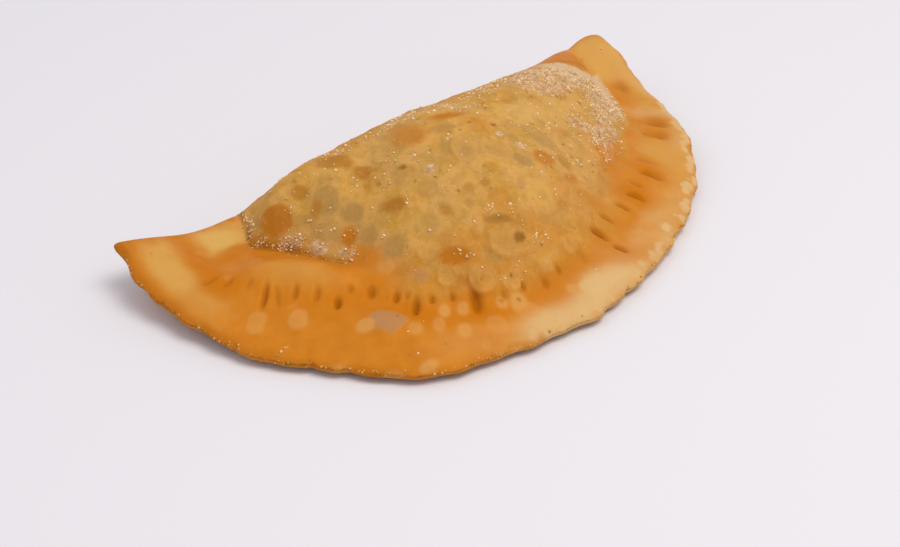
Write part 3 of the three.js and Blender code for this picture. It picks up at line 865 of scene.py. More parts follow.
@dataclass(frozen=True)
class Brush:
    """How patches are laid on the crust.

    A higher power makes them squarer. waviness is how far their borders stray, and hollow_share is the
    width of a hollow, as shares of their size. relief_share and relief_limit bound the relief's height.
    past_edge is how far they reach round the edge of the dough, in mm like the other widths.
    """

    power: float = 2.2
    border_lumps: Lumps = Lumps(35, 4.5)
    waviness: float = 0.16
    hollow_share: float = 0.72
    contour_width: float = 0.6
    lip_width: float = 0.55
    relief_share: float = 0.25
    relief_limit: float = 1.2
    past_edge: float = 1.5

    def lay(
        self, spot: Spot, offset: Array, strays: Array, reach: Array, tints: dict[Tint, Array]
    ) -> Array:
        """Lays one patch over the tints.

        Args:
            spot: the patch.
            offset: from the patch's middle to each point, as rows of x, y, z.
            strays: how far the patch's border strays at each point.
            reach: 1 on the patch's own face of the dough, and less on the other.
            tints: the tints so far, which the patch changes.

        Returns:
            The patch's relief at each point in mm.
        """
        stain = spot.kind.value
        along, across = turned(offset[:, 0], offset[:, 1], spot.turn)
        radius = min(spot.length, spot.width) / 2
        height = max(radius, (spot.length + spot.width) / 4)
        parts = (along / (spot.length / 2), across / (spot.width / 2), offset[:, 2] / height)
        total = sum(np.abs(part) ** self.power for part in parts)
        away = total ** (1 / self.power) * (1 + self.waviness * strays)
        out = (away - 1) * radius
        cover = smooth(0.5 - out / min(stain.softness, radius * 2))
        cover = cover * (1 - stain.hollow * bump(away / self.hollow_share) * (away < 1)) * reach
        for tint, layer in tints.items():
            if tint is stain.tint:
                layer += (min(spot.strength, 1.0) - layer) * cover
            else:
                layer -= layer * clamp01(cover * stain.hides * spot.strength)
        contour = stain.rimmed * spot.strength * bump(out / self.contour_width) * reach
        tints[Tint.PALE] += (1 - tints[Tint.PALE]) * contour
        size = min(radius * self.relief_share, self.relief_limit)
        dome = stain.dome * size * clamp01(1 - away**2)
        lip = stain.lip * size * bump(out / self.lip_width)
        return (dome + lip) * spot.strength * reach


@dataclass(frozen=True)
class Border:
    """Where points lie against the border of the belly's dry dough.

    foot is how far they lie inside it in mm, and behind how far they lie from the bare strip at the
    cap's back. cover is 1 on dry dough, crease is 1 in the crease, and back_line 1 along the strip; both
    lines get painted shade.
    """

    foot: Array
    behind: Array
    cover: Array
    crease: Array
    back_line: Array


@dataclass(frozen=True)
class DryDough:
    """Where the dry, mealy dough over the filling lies.

    Its border is a crease on the left and sharp round the cap, which is the belly's end at the right
    tip, and soft and straying in between. The cap leaves a strip along the fold bare. Shade is painted
    in the crease, and along the strip's border in the hollow at the cap's back.
    """

    creased: Step = Step(136, 6)
    crease_bulge: Lobe = Lobe(143, 4, 0.8)
    crease_shift: float = -0.5
    crease: Lobe = Lobe(0.2, 0.9)
    capped: Step = Step(40, -12)
    cap_shift: float = 3.6
    cap_narrowing: Step = Step(12, 22, 6.0)
    soft_shift: float = 8.0
    soft_straying: float = 5.0
    soft_width: float = 20.0
    sharp_width: float = 2.0
    strip: float = 11.5
    strip_widening: Step = Step(54, 26, 5.5)
    strip_narrowing: Step = Step(72, 6, 1.6)
    strip_softness: float = 1.5
    strip_begins: Step = Step(38, 8)
    back_line: Lobe = Lobe(-1.6, 1.2)
    back_line_begins: Step = Step(56, 6)
    back_line_ends: Step = Step(84, -6)

    def border(self, place: Place, plan: Plan, drift: Array, fine: Array) -> Border:
        """Where points lie against the border.

        Args:
            place: the points' places in the plan.
            plan: the pastry's outline.
            drift: large lumps, by which the soft border strays.
            fine: small lumps, by which the bare strip's border strays.

        Returns:
            The border as seen from each point.
        """
        creased, capped = self.creased.at(place.angle), self.capped.at(place.angle)
        sharp = np.maximum(creased, capped)
        at_crease = self.crease_bulge.at(place.angle) + self.crease_shift
        at_cap = self.cap_shift - self.cap_narrowing.at(place.angle)
        foot = place.rim - plan.foot.at(place.angle) + creased * at_crease + capped * at_cap
        inside = foot + lerp(self.soft_shift, 0.0, sharp) + self.soft_straying * drift * (1 - sharp)
        front = smooth(inside / lerp(self.soft_width, self.sharp_width, sharp))
        strip = self.strip + self.strip_widening.at(place.x) - self.strip_narrowing.at(place.x)
        behind = place.fold - strip + fine
        cover = front * lerp(1.0, smooth(behind / self.strip_softness), self.strip_begins.at(place.x))
        # The back line is painted shade in the hollow between the cap's back and the right tip.
        back_line = self.back_line.at(behind) * self.back_line_begins.at(place.x)
        back_line = back_line * self.back_line_ends.at(place.x)
        return Border(foot, behind, cover, self.crease.at(foot) * creased, back_line)


@dataclass(frozen=True)
class Coating:
    """The coarse sugar on the crust, from 0 to 1 by thickness.

    It lies in drifts, as a film that thins out at two angles, in clumped grains, and as a powder too
    fine to show as grains along the cap's border. A few clusters of grains lie on the rest of the belly.
    """

    drifts: tuple[Sprinkle, ...] = SPRINKLES
    raggedness: float = 0.25
    fades: Step = Step(1.45, -0.8)
    unevenness: float = 0.3
    kept_in: Step = Step(30, -8)
    film_from: float = 0.6
    film_run: float = 0.3
    thin_places: tuple[Lobe, ...] = (Lobe(44, 8), Lobe(24, 9, 0.5))
    powder_border: float = 1.2
    powder_across: Step = Step(11, -6)
    powder_begins: Step = Step(48, 8)
    powder_ends: Step = Step(14, -5)
    clump_lumps: Lumps = Lumps(55, 3.4, 2)
    clump_gain: float = 1.3
    between_clumps: float = 0.1
    in_clumps: float = 1.2
    coat_power: float = 1.2
    lost_in_powder: float = 0.9
    cluster_lumps: Lumps = Lumps(56, 2.6, 2)
    clustered: Step = Step(0.6, 0.3, 0.45)
    sparse_on_belly: float = 0.008
    sparse: float = 0.001

    def thickness(self, points: Array, fine: Array) -> Array:
        """How thickly sugar lies at each point, with small lumps to make it ragged."""
        thickest = np.zeros(len(points))
        for drift in self.drifts:
            along, across = turned(points[:, 0] - drift.x, points[:, 1] - drift.y, drift.turn)
            away = np.hypot(along / (drift.length / 2), across / (drift.width / 2))
            cover = self.fades.at(away + self.raggedness * fine)
            thickest = np.maximum(thickest, drift.thickness * cover)
        return thickest * (1 + self.unevenness * fine)

    def film(self, sugared: Array, place: Place) -> Array:
        """How closed the film of sugar is."""
        thin = math.prod(1 - lobe.at(place.angle) for lobe in self.thin_places)
        return (sugared - self.film_from) / self.film_run * thin

    def powder(self, border: Border, place: Place, fine: Array) -> Array:
        """How much powder lies along the cap's border."""
        inside = np.minimum(border.foot, border.behind) + self.powder_border * fine
        there = self.powder_begins.at(place.x) * self.powder_ends.at(place.angle)
        return border.cover * self.powder_across.at(inside) * there

    def grains(self, points: Array, belly: Array, sugared: Array, powder: Array) -> Array:
        """How thickly grains lie.

        Args:
            points: the crust's points.
            belly: where the dough lies over the filling.
            sugared: how thickly sugar coats each point.
            powder: how much powder lies there.

        Returns:
            The grains' density at each point.
        """
        clumps = smooth(0.5 + self.clump_gain * self.clump_lumps.at(points))
        clusters = self.clustered.at(self.cluster_lumps.at(points))
        scatter = (clusters + self.sparse_on_belly) * belly + self.sparse
        coated = clamp01(sugared) ** self.coat_power * lerp(self.between_clumps, self.in_clumps, clumps)
        return np.maximum(coated * (1 - self.lost_in_powder * powder), scatter)


@dataclass(frozen=True)
class TornRim:
    """The cut rim, where two layers of dough show. Widths and reaches are in mm.

    Heights over the rim's middle are shares of half the dough's thickness. seam_tint and edge_tint are
    for the dark line between the layers, which is painted shade in the gap over their own darker edge,
    and for the browned edge at the left tip.
    """

    cut: Step = Step(1.0, 8.0)
    fade: float = 1.3
    seam_lumps: Lumps = Lumps(6, 9.0, 2)
    seam_depth: float = 0.4
    seam_height: float = 0.3
    upper_lumps: Lumps = Lumps(7, 3.2)
    upper_reach: float = 0.42
    lower_lumps: Lumps = Lumps(8, 4.1)
    lower_reach: float = 0.55
    lower_shift: float = 0.2
    upper_from: Step = Step(-0.5, 1.0)
    notch_lumps: Lumps = Lumps(9, 2.6, 1)
    notches: Step = Step(0.45, 0.25, 0.9)
    raggedness: float = 0.8
    thinning: Step = Step(-0.2, 1.0, 1.0)
    thinning_width: float = 3.0
    seam_tint: Lobe = Lobe(0.0, 0.6)
    seam_tint_fade: float = 0.5
    seam_tint_weakest: float = 0.3
    seam_tint_gain: Step = Step(70, 30, 0.5)
    seam_tint_breaks: Step = Step(-0.3, 0.6)
    edge_tint_width: float = 1.0
    edge_tint_widening: Step = Step(135, 35, 1.6)
    edge_tint_begins: Step = Step(95, 35)
    crumb_share: float = 0.6
    crumb_line: Lobe = Lobe(0.3, 0.6)
    crumbs_begin: Step = Step(20, 30)

    def cut_at(self, place: Place) -> Array:
        """1 along the cut rim and 0 along the fold."""
        return self.cut.at(place.fold - place.rim)

    def outward_reach(self, points: Array, place: Place, level: Array) -> Array:
        """How far the torn layers stand out from the outline.

        Args:
            points: the crust's points.
            place: their places in the plan.
            level: their heights over the rim's middle.

        Returns:
            The reach at each point in mm, less than nothing in the seam and in notches.
        """
        near = np.exp(-np.maximum(place.edge, 0) / self.fade) * self.cut_at(place)
        depth = self.seam_depth * (1 + self.seam_lumps.at(points))
        upper = self.upper_reach * self.upper_lumps.at(points)
        lower = self.lower_reach * self.lower_lumps.at(points) + self.lower_shift
        notch = self.notches.at(self.notch_lumps.at(points * (1, 1, 0)))
        ragged = lerp(lower, upper, self.upper_from.at(level)) - notch
        return near * (self.raggedness * ragged - depth * bump(level / self.seam_height))

    def seam(self, place: Place, above_middle: Array, fine: Array) -> Array:
        """How dark the line between the layers is, from its height over the rim's middle in mm: painted
        shade in the gap, over the layers' own darker edge.
        """
        fade = np.exp(-np.maximum(place.edge, 0) / self.seam_tint_fade) * self.cut_at(place)
        strength = self.seam_tint_weakest + self.seam_tint_gain.at(place.angle)
        return self.seam_tint.at(above_middle) * fade * strength * self.seam_tint_breaks.at(fine)

    def browned(self, place: Place) -> Array:
        """How browned the edge is."""
        width = self.edge_tint_width + self.edge_tint_widening.at(place.angle)
        return bump(place.edge / width) * self.edge_tint_begins.at(place.angle)

    def crumbs(self, place: Place) -> Array:
        """How thickly toasted crumbs lie along the torn rim."""
        there = self.cut_at(place) * self.crumbs_begin.at(place.angle)
        return self.crumb_share * self.crumb_line.at(place.edge) * there


# ---- The crust -----------------------------------------------------------------------------------


class Side(Enum):
    """The two sides of the outline between the tips."""

    FOLD = "fold"
    RIM = "rim"


@dataclass(frozen=True)
class Row:
    """A row of vertices along one side of a ring: how far along each lies, and its number."""

    along: list[float]
    ids: list[int]


@dataclass
class RingSweep:
    """Closed skin made of rings that run from the outline in to a spine, above and below.

    Lines from the spine aim for points outside the outline, which bulge out along the rim. The lower
    edge_crowding is, the closer the rings crowd at the rim, apart from a share of it at both ends.
    """

    plan: Plan
    samples: int = 480
    spine_left: tuple[float, float] = (-90.0, -17.0)
    spine_right: tuple[float, float] = (84.0, -17.0)
    spine_dip: float = 19.8
    spine_sag: float = 22.2
    aim_left: tuple[float, float] = (-125.0, -1.1)
    aim_right: tuple[float, float] = (124.0, 1.2)
    aim_bulge: float = 30.0
    halvings: int = 40
    edge_crowding: float = 0.08
    end_share: float = 0.1
    points: list[Array] = field(default_factory=list)
    faces: list[tuple[int, int, int]] = field(default_factory=list)
    count: int = 0

    def spine(self, w: Array) -> Array:
        """Points of the spine, for w from 0 at the left tip to 1 at the right."""
        straight = lerp(np.array(self.spine_left), np.array(self.spine_right), w[:, None])
        bow = 4 * w * (1 - w)
        straight[:, 1] -= self.spine_dip * bow + self.spine_sag * bow**2
        return straight

    def aims(self, side: Side, w: Array) -> Array:
        """Points outside the outline that the lines from the spine aim for."""
        if side is Side.FOLD:
            return lerp(np.array(self.aim_left), np.array(self.aim_right), w[:, None])
        ends = np.array([self.aim_left, self.aim_right])
        radii, turns = self.plan.polar(ends[:, 0], ends[:, 1])
        radius = lerp(radii[0], radii[1], w) + self.aim_bulge * np.sin(math.pi * w)
        return self.plan.from_polar(radius, lerp(turns[0], turns[1], w))

    def outline(self, side: Side, w: Array) -> Array:
        """The outline's points on the lines from the spine to the aims, found by halving."""
        start, aim = self.spine(w), self.aims(side, w)
        inside, outside = np.zeros(len(w)), np.ones(len(w))
        for _ in range(self.halvings):
            middle = (inside + outside) / 2
            point = lerp(start, aim, middle[:, None])
            is_in = self.plan.place(point[:, 0], point[:, 1]).edge > 0
            inside = np.where(is_in, middle, inside)
            outside = np.where(is_in, outside, middle)
        return lerp(start, aim, inside[:, None])

    def depth(self, side: Side, w: Array, share: float) -> Array:
        """How far in a ring stands, as a share of the way from the outline to the spine."""
        folded = 1 - math.cos(math.pi / 2 * share)
        if side is Side.FOLD:
            return np.full(len(w), folded)
        soft = self.edge_crowding
        cut = (math.hypot(share, soft) - soft) / (math.hypot(1, soft) - soft)
        return lerp(folded, cut, smooth(w / self.end_share) * smooth((1 - w) / self.end_share))

    def ring_side(self, side: Side, share: float, spacing: float) -> tuple[Array, Array]:
        """One side of a ring, evenly spaced, with its ends.

        Args:
            side: the fold's side or the rim's.
            share: the ring's place, from 0 at the outline to 1 at the spine.
            spacing: the distance between points in mm.

        Returns:
            How far along each point lies, and the points.
        """
        w = np.linspace(0, 1, self.samples + 1)
        depth = self.depth(side, w, share)
        line = lerp(self.outline(side, w), self.spine(w), depth[:, None])
        reach = np.concatenate([[0], np.cumsum(np.hypot(*np.diff(line, axis=0).T))])
        steps = max(round(reach[-1] / spacing), 2)
        at = np.linspace(0, reach[-1], steps + 1)
        points = np.stack([np.interp(at, reach, line[:, k]) for k in (0, 1)], axis=1)
        return np.interp(at, reach, w), points

    def add_points(self, along: Array, points: Array) -> Row:
        """Numbers new vertices and returns them as a row."""
        ids = list(range(self.count, self.count + len(points)))
        self.points.append(points)
        self.count += len(points)
        return Row(along.tolist(), ids)

    def add_ring(self, share: float, spacing: float) -> dict[Side, Row]:
        """Adds a ring whose two sides share their end vertices, or all of them on the spine."""
        fold = self.add_points(*self.ring_side(Side.FOLD, share, spacing))
        if share == 1:
            return {Side.FOLD: fold, Side.RIM: fold}
        along, points = self.ring_side(Side.RIM, share, spacing)
        inner = self.add_points(along[1:-1], points[1:-1])
        ends = Row([0.0, *inner.along, 1.0], [fold.ids[0], *inner.ids, fold.ids[-1]])
        return {Side.FOLD: fold, Side.RIM: ends}

    def stitch(self, outer: Row, inner: Row, flip: bool) -> None:
        """Fills the strip between two rows with triangles, always taking the nearer next step.

        Args:
            outer: the row nearer the outline.
            inner: the row nearer the spine.
            flip: whether the triangles are turned over.
        """
        i = j = 0
        while i < len(outer.ids) - 1 or j < len(inner.ids) - 1:
            outer_next = outer.along[i + 1] if i < len(outer.ids) - 1 else math.inf
            inner_next = inner.along[j + 1] if j < len(inner.ids) - 1 else math.inf
            takes_outer = outer_next <= inner_next
            step = outer.ids[i + 1] if takes_outer else inner.ids[j + 1]
            face = (outer.ids[i], step, inner.ids[j])
            if len(set(face)) == 3:
                self.faces.append(face[::-1] if flip else face)
            if takes_outer:
                i += 1
            else:
                j += 1

    def add_sheet(self, outline: dict[Side, Row], spacing: float, rings: int, is_top: bool) -> None:
        """Adds the upper or the lower face of the dough inside its outline."""
        outer = outline
        for k in range(1, rings + 1):
            inner = self.add_ring(k / rings, spacing)
            self.stitch(outer[Side.FOLD], inner[Side.FOLD], is_top)
            self.stitch(outer[Side.RIM], inner[Side.RIM], not is_top)
            outer = inner


@dataclass
class Crust:
    """The fried dough: one closed skin over the whole pastry, with the marks of fork and pan.

    The upper face has finer rings than the under one. Where the belly has risen by the share risen, its
    own crowds of small patches begin, and they stay off the cap's back. Widths are in mm.
    """

    form: Form
    marks: ForkMarks
    dry: DryDough = DryDough()
    sugar: Coating = Coating()
    rim: TornRim = TornRim()
    brush: Brush = Brush()
    top_spacing: float = 0.68
    top_rings: int = 88
    under_spacing: float = 1.5
    under_rings: int = 40
    large_lumps: Lumps = Lumps(15, 17.0, 2)
    large_heights: tuple[float, float] = (0.16, 0.42)
    small_lumps: Lumps = Lumps(16, 4.6)
    small_heights: tuple[float, float] = (0.06, 0.13)
    lumpy_from: Step = Step(0.0, 0.25)
    lumps_margin: float = 5.0
    lumps_off_ground: float = 1.5
    patch_seed: int = 25
    risen: float = 0.12
    flat: float = 0.02
    cap_back: tuple[float, float] = (46.0, 16.0)
    flange_margin: float = 3.0
    rim_band: tuple[float, float] = (2.2, 1.4)
    rim_arc: tuple[float, float] = (60.0, 45.0)
    fold_back: float = 12.0
    sugar_lumps: Lumps = Lumps(36, 2.4, 2)
    sugar_relief: float = 0.4
    relief_margin: float = 2.5
    drift_lumps: Lumps = Lumps(45, 14.0)
    fine_lumps: Lumps = Lumps(46, 3.0)
    under_dryness: tuple[float, float] = (0.45, 0.3)
    shade_parts: tuple[float, float, float] = (0.5, 0.5, 0.2)
    under_edge: float = 0.6
    slit_shade_power: float = 1.3
    crease_strength: float = 0.7
    crease_unevenness: float = 0.6
    back_line_strength: float = 0.5
    crease_crumbs: float = 0.8

    def build(self, finish: CrustFinish) -> bpy.types.Object:
        """Makes the crust's object and dresses it.

        Args:
            finish: the crust's material.

        Returns:
            The object, with its tints as attributes.
        """
        sweep, is_top = self.sweep()
        plan_points = np.concatenate(sweep.points)
        place = self.form.plan.place(plan_points[:, 0], plan_points[:, 1])
        faces = np.array(sweep.faces)
        points = self.tear_edge(self.raise_form(place, is_top), place)
        points += self.lumps(points, place, is_top)[:, None] * normals_of(points, faces)
        relief, tints = self.paint(points, place, is_top)
        points += relief[:, None] * normals_of(points, faces)
        points[:, 2] = np.maximum(points[:, 2], 0.0)
        points[:, :2] -= self.middle_of_box()
        crust = mesh_object("crust", points, faces, tints)
        crust.data.materials.append(finish.material())
        return crust

    def sweep(self) -> tuple[RingSweep, Array]:
        """The skin's rings and faces, and which points are on its upper face."""
        sweep = RingSweep(self.form.plan)
        outline = sweep.add_ring(0, self.top_spacing)
        sweep.add_sheet(outline, self.top_spacing, self.top_rings, True)
        top_count = sweep.count
        sweep.add_sheet(outline, self.under_spacing, self.under_rings, False)
        return sweep, np.arange(sweep.count) < top_count

    def middle_of_box(self) -> Array:
        """The plan point under the middle of the bounding box, which the frame has at its origin."""
        sweep = RingSweep(self.form.plan)
        w = np.linspace(0, 1, sweep.samples + 1)
        edge = np.concatenate([sweep.outline(side, w) for side in Side])
        return (edge.min(axis=0) + edge.max(axis=0)) / 2

    def raise_form(self, place: Place, is_top: Array) -> Array:
        """The crust's points with the form's heights, the outline at the middle of the dough."""
        height = np.where(is_top, self.form.top(place), self.form.under(place))
        height = np.where(place.edge < ON_OUTLINE, self.form.middle(place), height)
        return np.stack([place.x, place.y, height], axis=1)

    def outward(self, place: Place, reach: float = 0.5) -> Array:
        """The direction in the plan that leads straight out of the outline, as rows of x, y, z."""
        plan = self.form.plan
        across = plan.place(place.x + reach, place.y).edge - plan.place(place.x - reach, place.y).edge
        along = plan.place(place.x, place.y + reach).edge - plan.place(place.x, place.y - reach).edge
        length = np.maximum(np.hypot(across, along), NEARLY_ZERO)
        return np.stack([-across / length, -along / length, np.zeros(len(length))], axis=1)

    def tear_edge(self, points: Array, place: Place) -> Array:
        """The crust's points with the two layers of dough at the rim parted, and their edges torn."""
        level = (points[:, 2] - self.form.middle(place)) / (self.form.thickness / 2)
        reach = self.rim.outward_reach(points, place, level)
        torn = points + reach[:, None] * self.outward(place)
        near = bump(place.edge / self.rim.thinning_width) * self.rim.cut_at(place)
        torn[:, 2] -= self.rim.thinning.at(level) * near
        return torn

    def lumps(self, points: Array, place: Place, is_top: Array) -> Array:
        """The dough's own unevenness along its normal, in mm."""
        belly = self.lumpy_from.at(self.form.belly(place))
        large = lerp(*self.large_heights, belly) * self.large_lumps.at(points)
        small = lerp(*self.small_heights, belly) * self.small_lumps.at(points)
        away_from_edge = smooth(place.edge / self.lumps_margin)
        on_ground = np.where(is_top, 1.0, smooth(points[:, 2] / self.lumps_off_ground))
        return (large + small) * away_from_edge * on_ground

    def spots(self, points: Array, place: Place, is_top: Array) -> list[PlacedSpot]:
        """Every patch: the washes first, then crowds of small ones, and the main ones last."""
        rng = np.random.default_rng(self.patch_seed)
        belly = self.form.belly(place)
        off_cap = (place.x <= self.cap_back[0]) | (place.fold >= self.cap_back[1])
        on_rim = np.abs(place.edge - self.rim_band[0]) < self.rim_band[1]
        on_rim &= np.abs(place.angle - self.rim_arc[0]) < self.rim_arc[1]
        on_back = (place.fold < self.fold_back) & (belly > self.flat)
        regions = (
            (BELLY_FIELDS, is_top & (belly > self.risen) & off_cap),
            (FLANGE_FIELDS, is_top & (belly < self.flat) & (place.edge > self.flange_margin)),
            (RIM_FIELDS, is_top & on_rim),
            (UNDER_FIELDS, ~is_top | (on_back & off_cap)),
        )
        crowds = []
        for fields, region in regions:
            candidates = np.flatnonzero(region)
            for crowd in fields:
                for k in rng.choice(candidates, crowd.count):
                    crowds.append(PlacedSpot(crowd.spot(points[k], rng), points[k], is_top[k]))
        shuffled = [crowds[k] for k in rng.permutation(len(crowds))]
        return [*map(self.on_top, WASHES), *shuffled, *map(self.on_top, MAIN_SPOTS)]

    def on_top(self, spot: Spot) -> PlacedSpot:
        """A spot with its middle on the upper face."""
        place = self.form.plan.place(np.array([spot.x]), np.array([spot.y]))
        return PlacedSpot(spot, np.array([spot.x, spot.y, self.form.top(place)[0]]), True)

    def paint(self, points: Array, place: Place, is_top: Array) -> tuple[Array, dict[str, Array]]:
        """Works out the crust's tints and the relief that goes with them.

        Args:
            points: the crust's points.
            place: their places in the plan.
            is_top: which of them are on the upper face.

        Returns:
            The relief along the normal in mm, and the tints by name, each from 0 to 1.
        """
        layers = {tint: np.zeros(len(points)) for tint in Tint}
        relief = np.zeros(len(points))
        strays = self.brush.border_lumps.at(points)
        past_edge = bump(place.edge / self.brush.past_edge)
        for placed in self.spots(points, place, is_top):
            reach = np.where(is_top == placed.is_above, 1.0, past_edge)
            relief += self.brush.lay(placed.spot, points - placed.middle, strays, reach, layers)
        pressed, slit, near = self.marks.press(place)
        crumbly = self.sugar_lumps.at(points)
        sugared = self.sugar_relief * self.sugar.thickness(points, crumbly) * crumbly
        relief += np.where(is_top, sugared - pressed, 0.0)
        relief *= smooth(place.edge / self.relief_margin) * np.where(is_top, 1.0, smooth(points[:, 2]))
        tints = {tint.value: layer for tint, layer in layers.items()}
        tints |= self.mix_tints(points, place, is_top, slit, near)
        return relief, {name: clamp01(tint) for name, tint in tints.items()}

    def mix_tints(
        self, points: Array, place: Place, is_top: Array, slit: Array, near: Array
    ) -> dict[str, Array]:
        """The crust's other tints.

        Args:
            points: the crust's points.
            place: their places in the plan.
            is_top: which of them are on the upper face.
            slit: how deep in a fork mark each point is, which sets the shade painted in the slit.
            near: how near to a fork mark it is.

        Returns:
            The tints by name.
        """
        drift, fine = self.drift_lumps.at(points), self.fine_lumps.at(points)
        border = self.dry.border(place, self.form.plan, drift, fine)
        thickness = self.sugar.thickness(points, fine)
        sugared = thickness * lerp(1.0, border.cover, self.sugar.kept_in.at(place.angle))
        powder = self.sugar.powder(border, place, fine)
        # Shade painted in the crease at the belly's left foot, and in the hollow at the cap's back.
        crease = border.crease * (self.crease_strength + self.crease_unevenness * fine)
        on_top = {
            "marked": near,
            # deep is shade painted in the fork slits.
            "deep": slit**self.slit_shade_power,
            "crease": crease + self.back_line_strength * border.back_line,
            "powder": powder,
            "sugared": self.sugar.film(sugared, place),
            "sugar_grains": self.sugar.grains(points, border.cover, sugared, powder),
            "crumbs": np.maximum(self.crease_crumbs * border.crease, self.rim.crumbs(place)),
        }
        under_base, under_drift = self.under_dryness
        shade_base, shade_drift, shade_fine = self.shade_parts
        above_middle = points[:, 2] - self.form.middle(place)
        both = {
            "belly": np.where(is_top, border.cover, under_base + under_drift * drift),
            "shade": shade_base + shade_drift * drift + shade_fine * fine,
            "edge": self.rim.browned(place) * np.where(is_top, 1.0, self.under_edge),
            # The seam's tint is painted shade in the gap between the two layers, over their own darker
            # edge.
            "seam": self.rim.seam(place, above_middle, fine),
        }
        return both | {name: np.where(is_top, tint, 0.0) for name, tint in on_top.items()}


def normals_of(points: Array, faces: Array) -> Array:
    """The outward normal at each point of a triangle mesh, as unit rows."""
    corners = points[faces]
    flat = np.cross(corners[:, 1] - corners[:, 0], corners[:, 2] - corners[:, 0])
    total = np.zeros_like(points)
    for corner in range(3):
        for axis in range(3):
            total[:, axis] += np.bincount(faces[:, corner], flat[:, axis], len(points))
    return total / np.maximum(np.linalg.norm(total, axis=1, keepdims=True), NEARLY_ZERO)


def add_object(name: str, data: Any) -> bpy.types.Object:
    """Makes an object of a mesh, a light or a camera and links it to the scene."""
    made = bpy.data.objects.new(name, data)
    bpy.context.scene.collection.objects.link(made)
    return made


def mesh_object(name: str, points: Array, faces: Array, tints: dict[str, Array]) -> bpy.types.Object:
    """Makes a smooth mesh object from points in mm.

    Args:
        name: the object's name.
        points: rows of x, y, z in mm.
        faces: rows of three point numbers.
        tints: values for each point, by attribute name.

    Returns:
        The object, linked to the scene.
    """
    mesh = bpy.data.meshes.new(name)
    mesh.vertices.add(len(points))
    mesh.vertices.foreach_set("co", (points * MM).astype(np.float32).ravel())
    mesh.loops.add(faces.size)
    mesh.loops.foreach_set("vertex_index", faces.astype(np.int32).ravel())
    mesh.polygons.add(len(faces))
    mesh.polygons.foreach_set("loop_start", np.arange(0, faces.size, 3, dtype=np.int32))
    for tint, values in tints.items():
        attribute = mesh.attributes.new(tint, "FLOAT", "POINT")
        attribute.data.foreach_set("value", values.astype(np.float32))
    mesh.update()
    mesh.validate()
    mesh.shade_smooth()
    return add_object(name, mesh)


# ---- Nodes and materials -------------------------------------------------------------------------


def linear(hex_colour: str) -> tuple[float, float, float, float]:
    """An sRGB hex colour as linear red, green, blue and alpha."""
    parts = (int(hex_colour[i : i + 2], 16) / 255 for i in (1, 3, 5))
    return (*(c / 12.92 if c <= 0.04045 else ((c + 0.055) / 1.055) ** 2.4 for c in parts), 1.0)


def per_size(size_mm: float) -> float:
    """A texture's scale for features of a size in mm, on coordinates in metres."""
    return 1.0 / (size_mm * MM)


def find_socket(sockets: Any, key: str | int) -> Any:
    """A node's socket by number, by identifier or by name."""
    if isinstance(key, int):
        return sockets[key]
    for socket in sockets:
        if socket.identifier == key:
            return socket
    return sockets[key]


def add_node(
    tree: bpy.types.NodeTree,
    kind: str,
    inputs: dict[str | int, Any] | None = None,
    **settings: Any,
) -> bpy.types.Node:
    """Adds a node with its settings, values and links.

    Args:
        tree: the tree that gets the node.
        kind: the node's type.
        inputs: a value or another node's output for each socket, by number, identifier or name.
        settings: the node's own properties.

    Returns:
        The node.
    """
    node = tree.nodes.new(kind)
    for name, value in settings.items():
        setattr(node, name, value)
    for key, value in (inputs or {}).items():
        socket = find_socket(node.inputs, key)
        if isinstance(value, bpy.types.NodeSocket):
            tree.links.new(value, socket)
        else:
            socket.default_value = value
    return node


@dataclass(frozen=True)
class Ramp:
    """A range of values, and the range that they are carried to."""

    low: float
    high: float
    start: float = 0.0
    end: float = 1.0


@dataclass(frozen=True)
class Cloud:
    """Cloudy noise: the size of its features in mm, its detail and its roughness."""

    size_mm: float
    detail: float
    roughness: float = 0.55


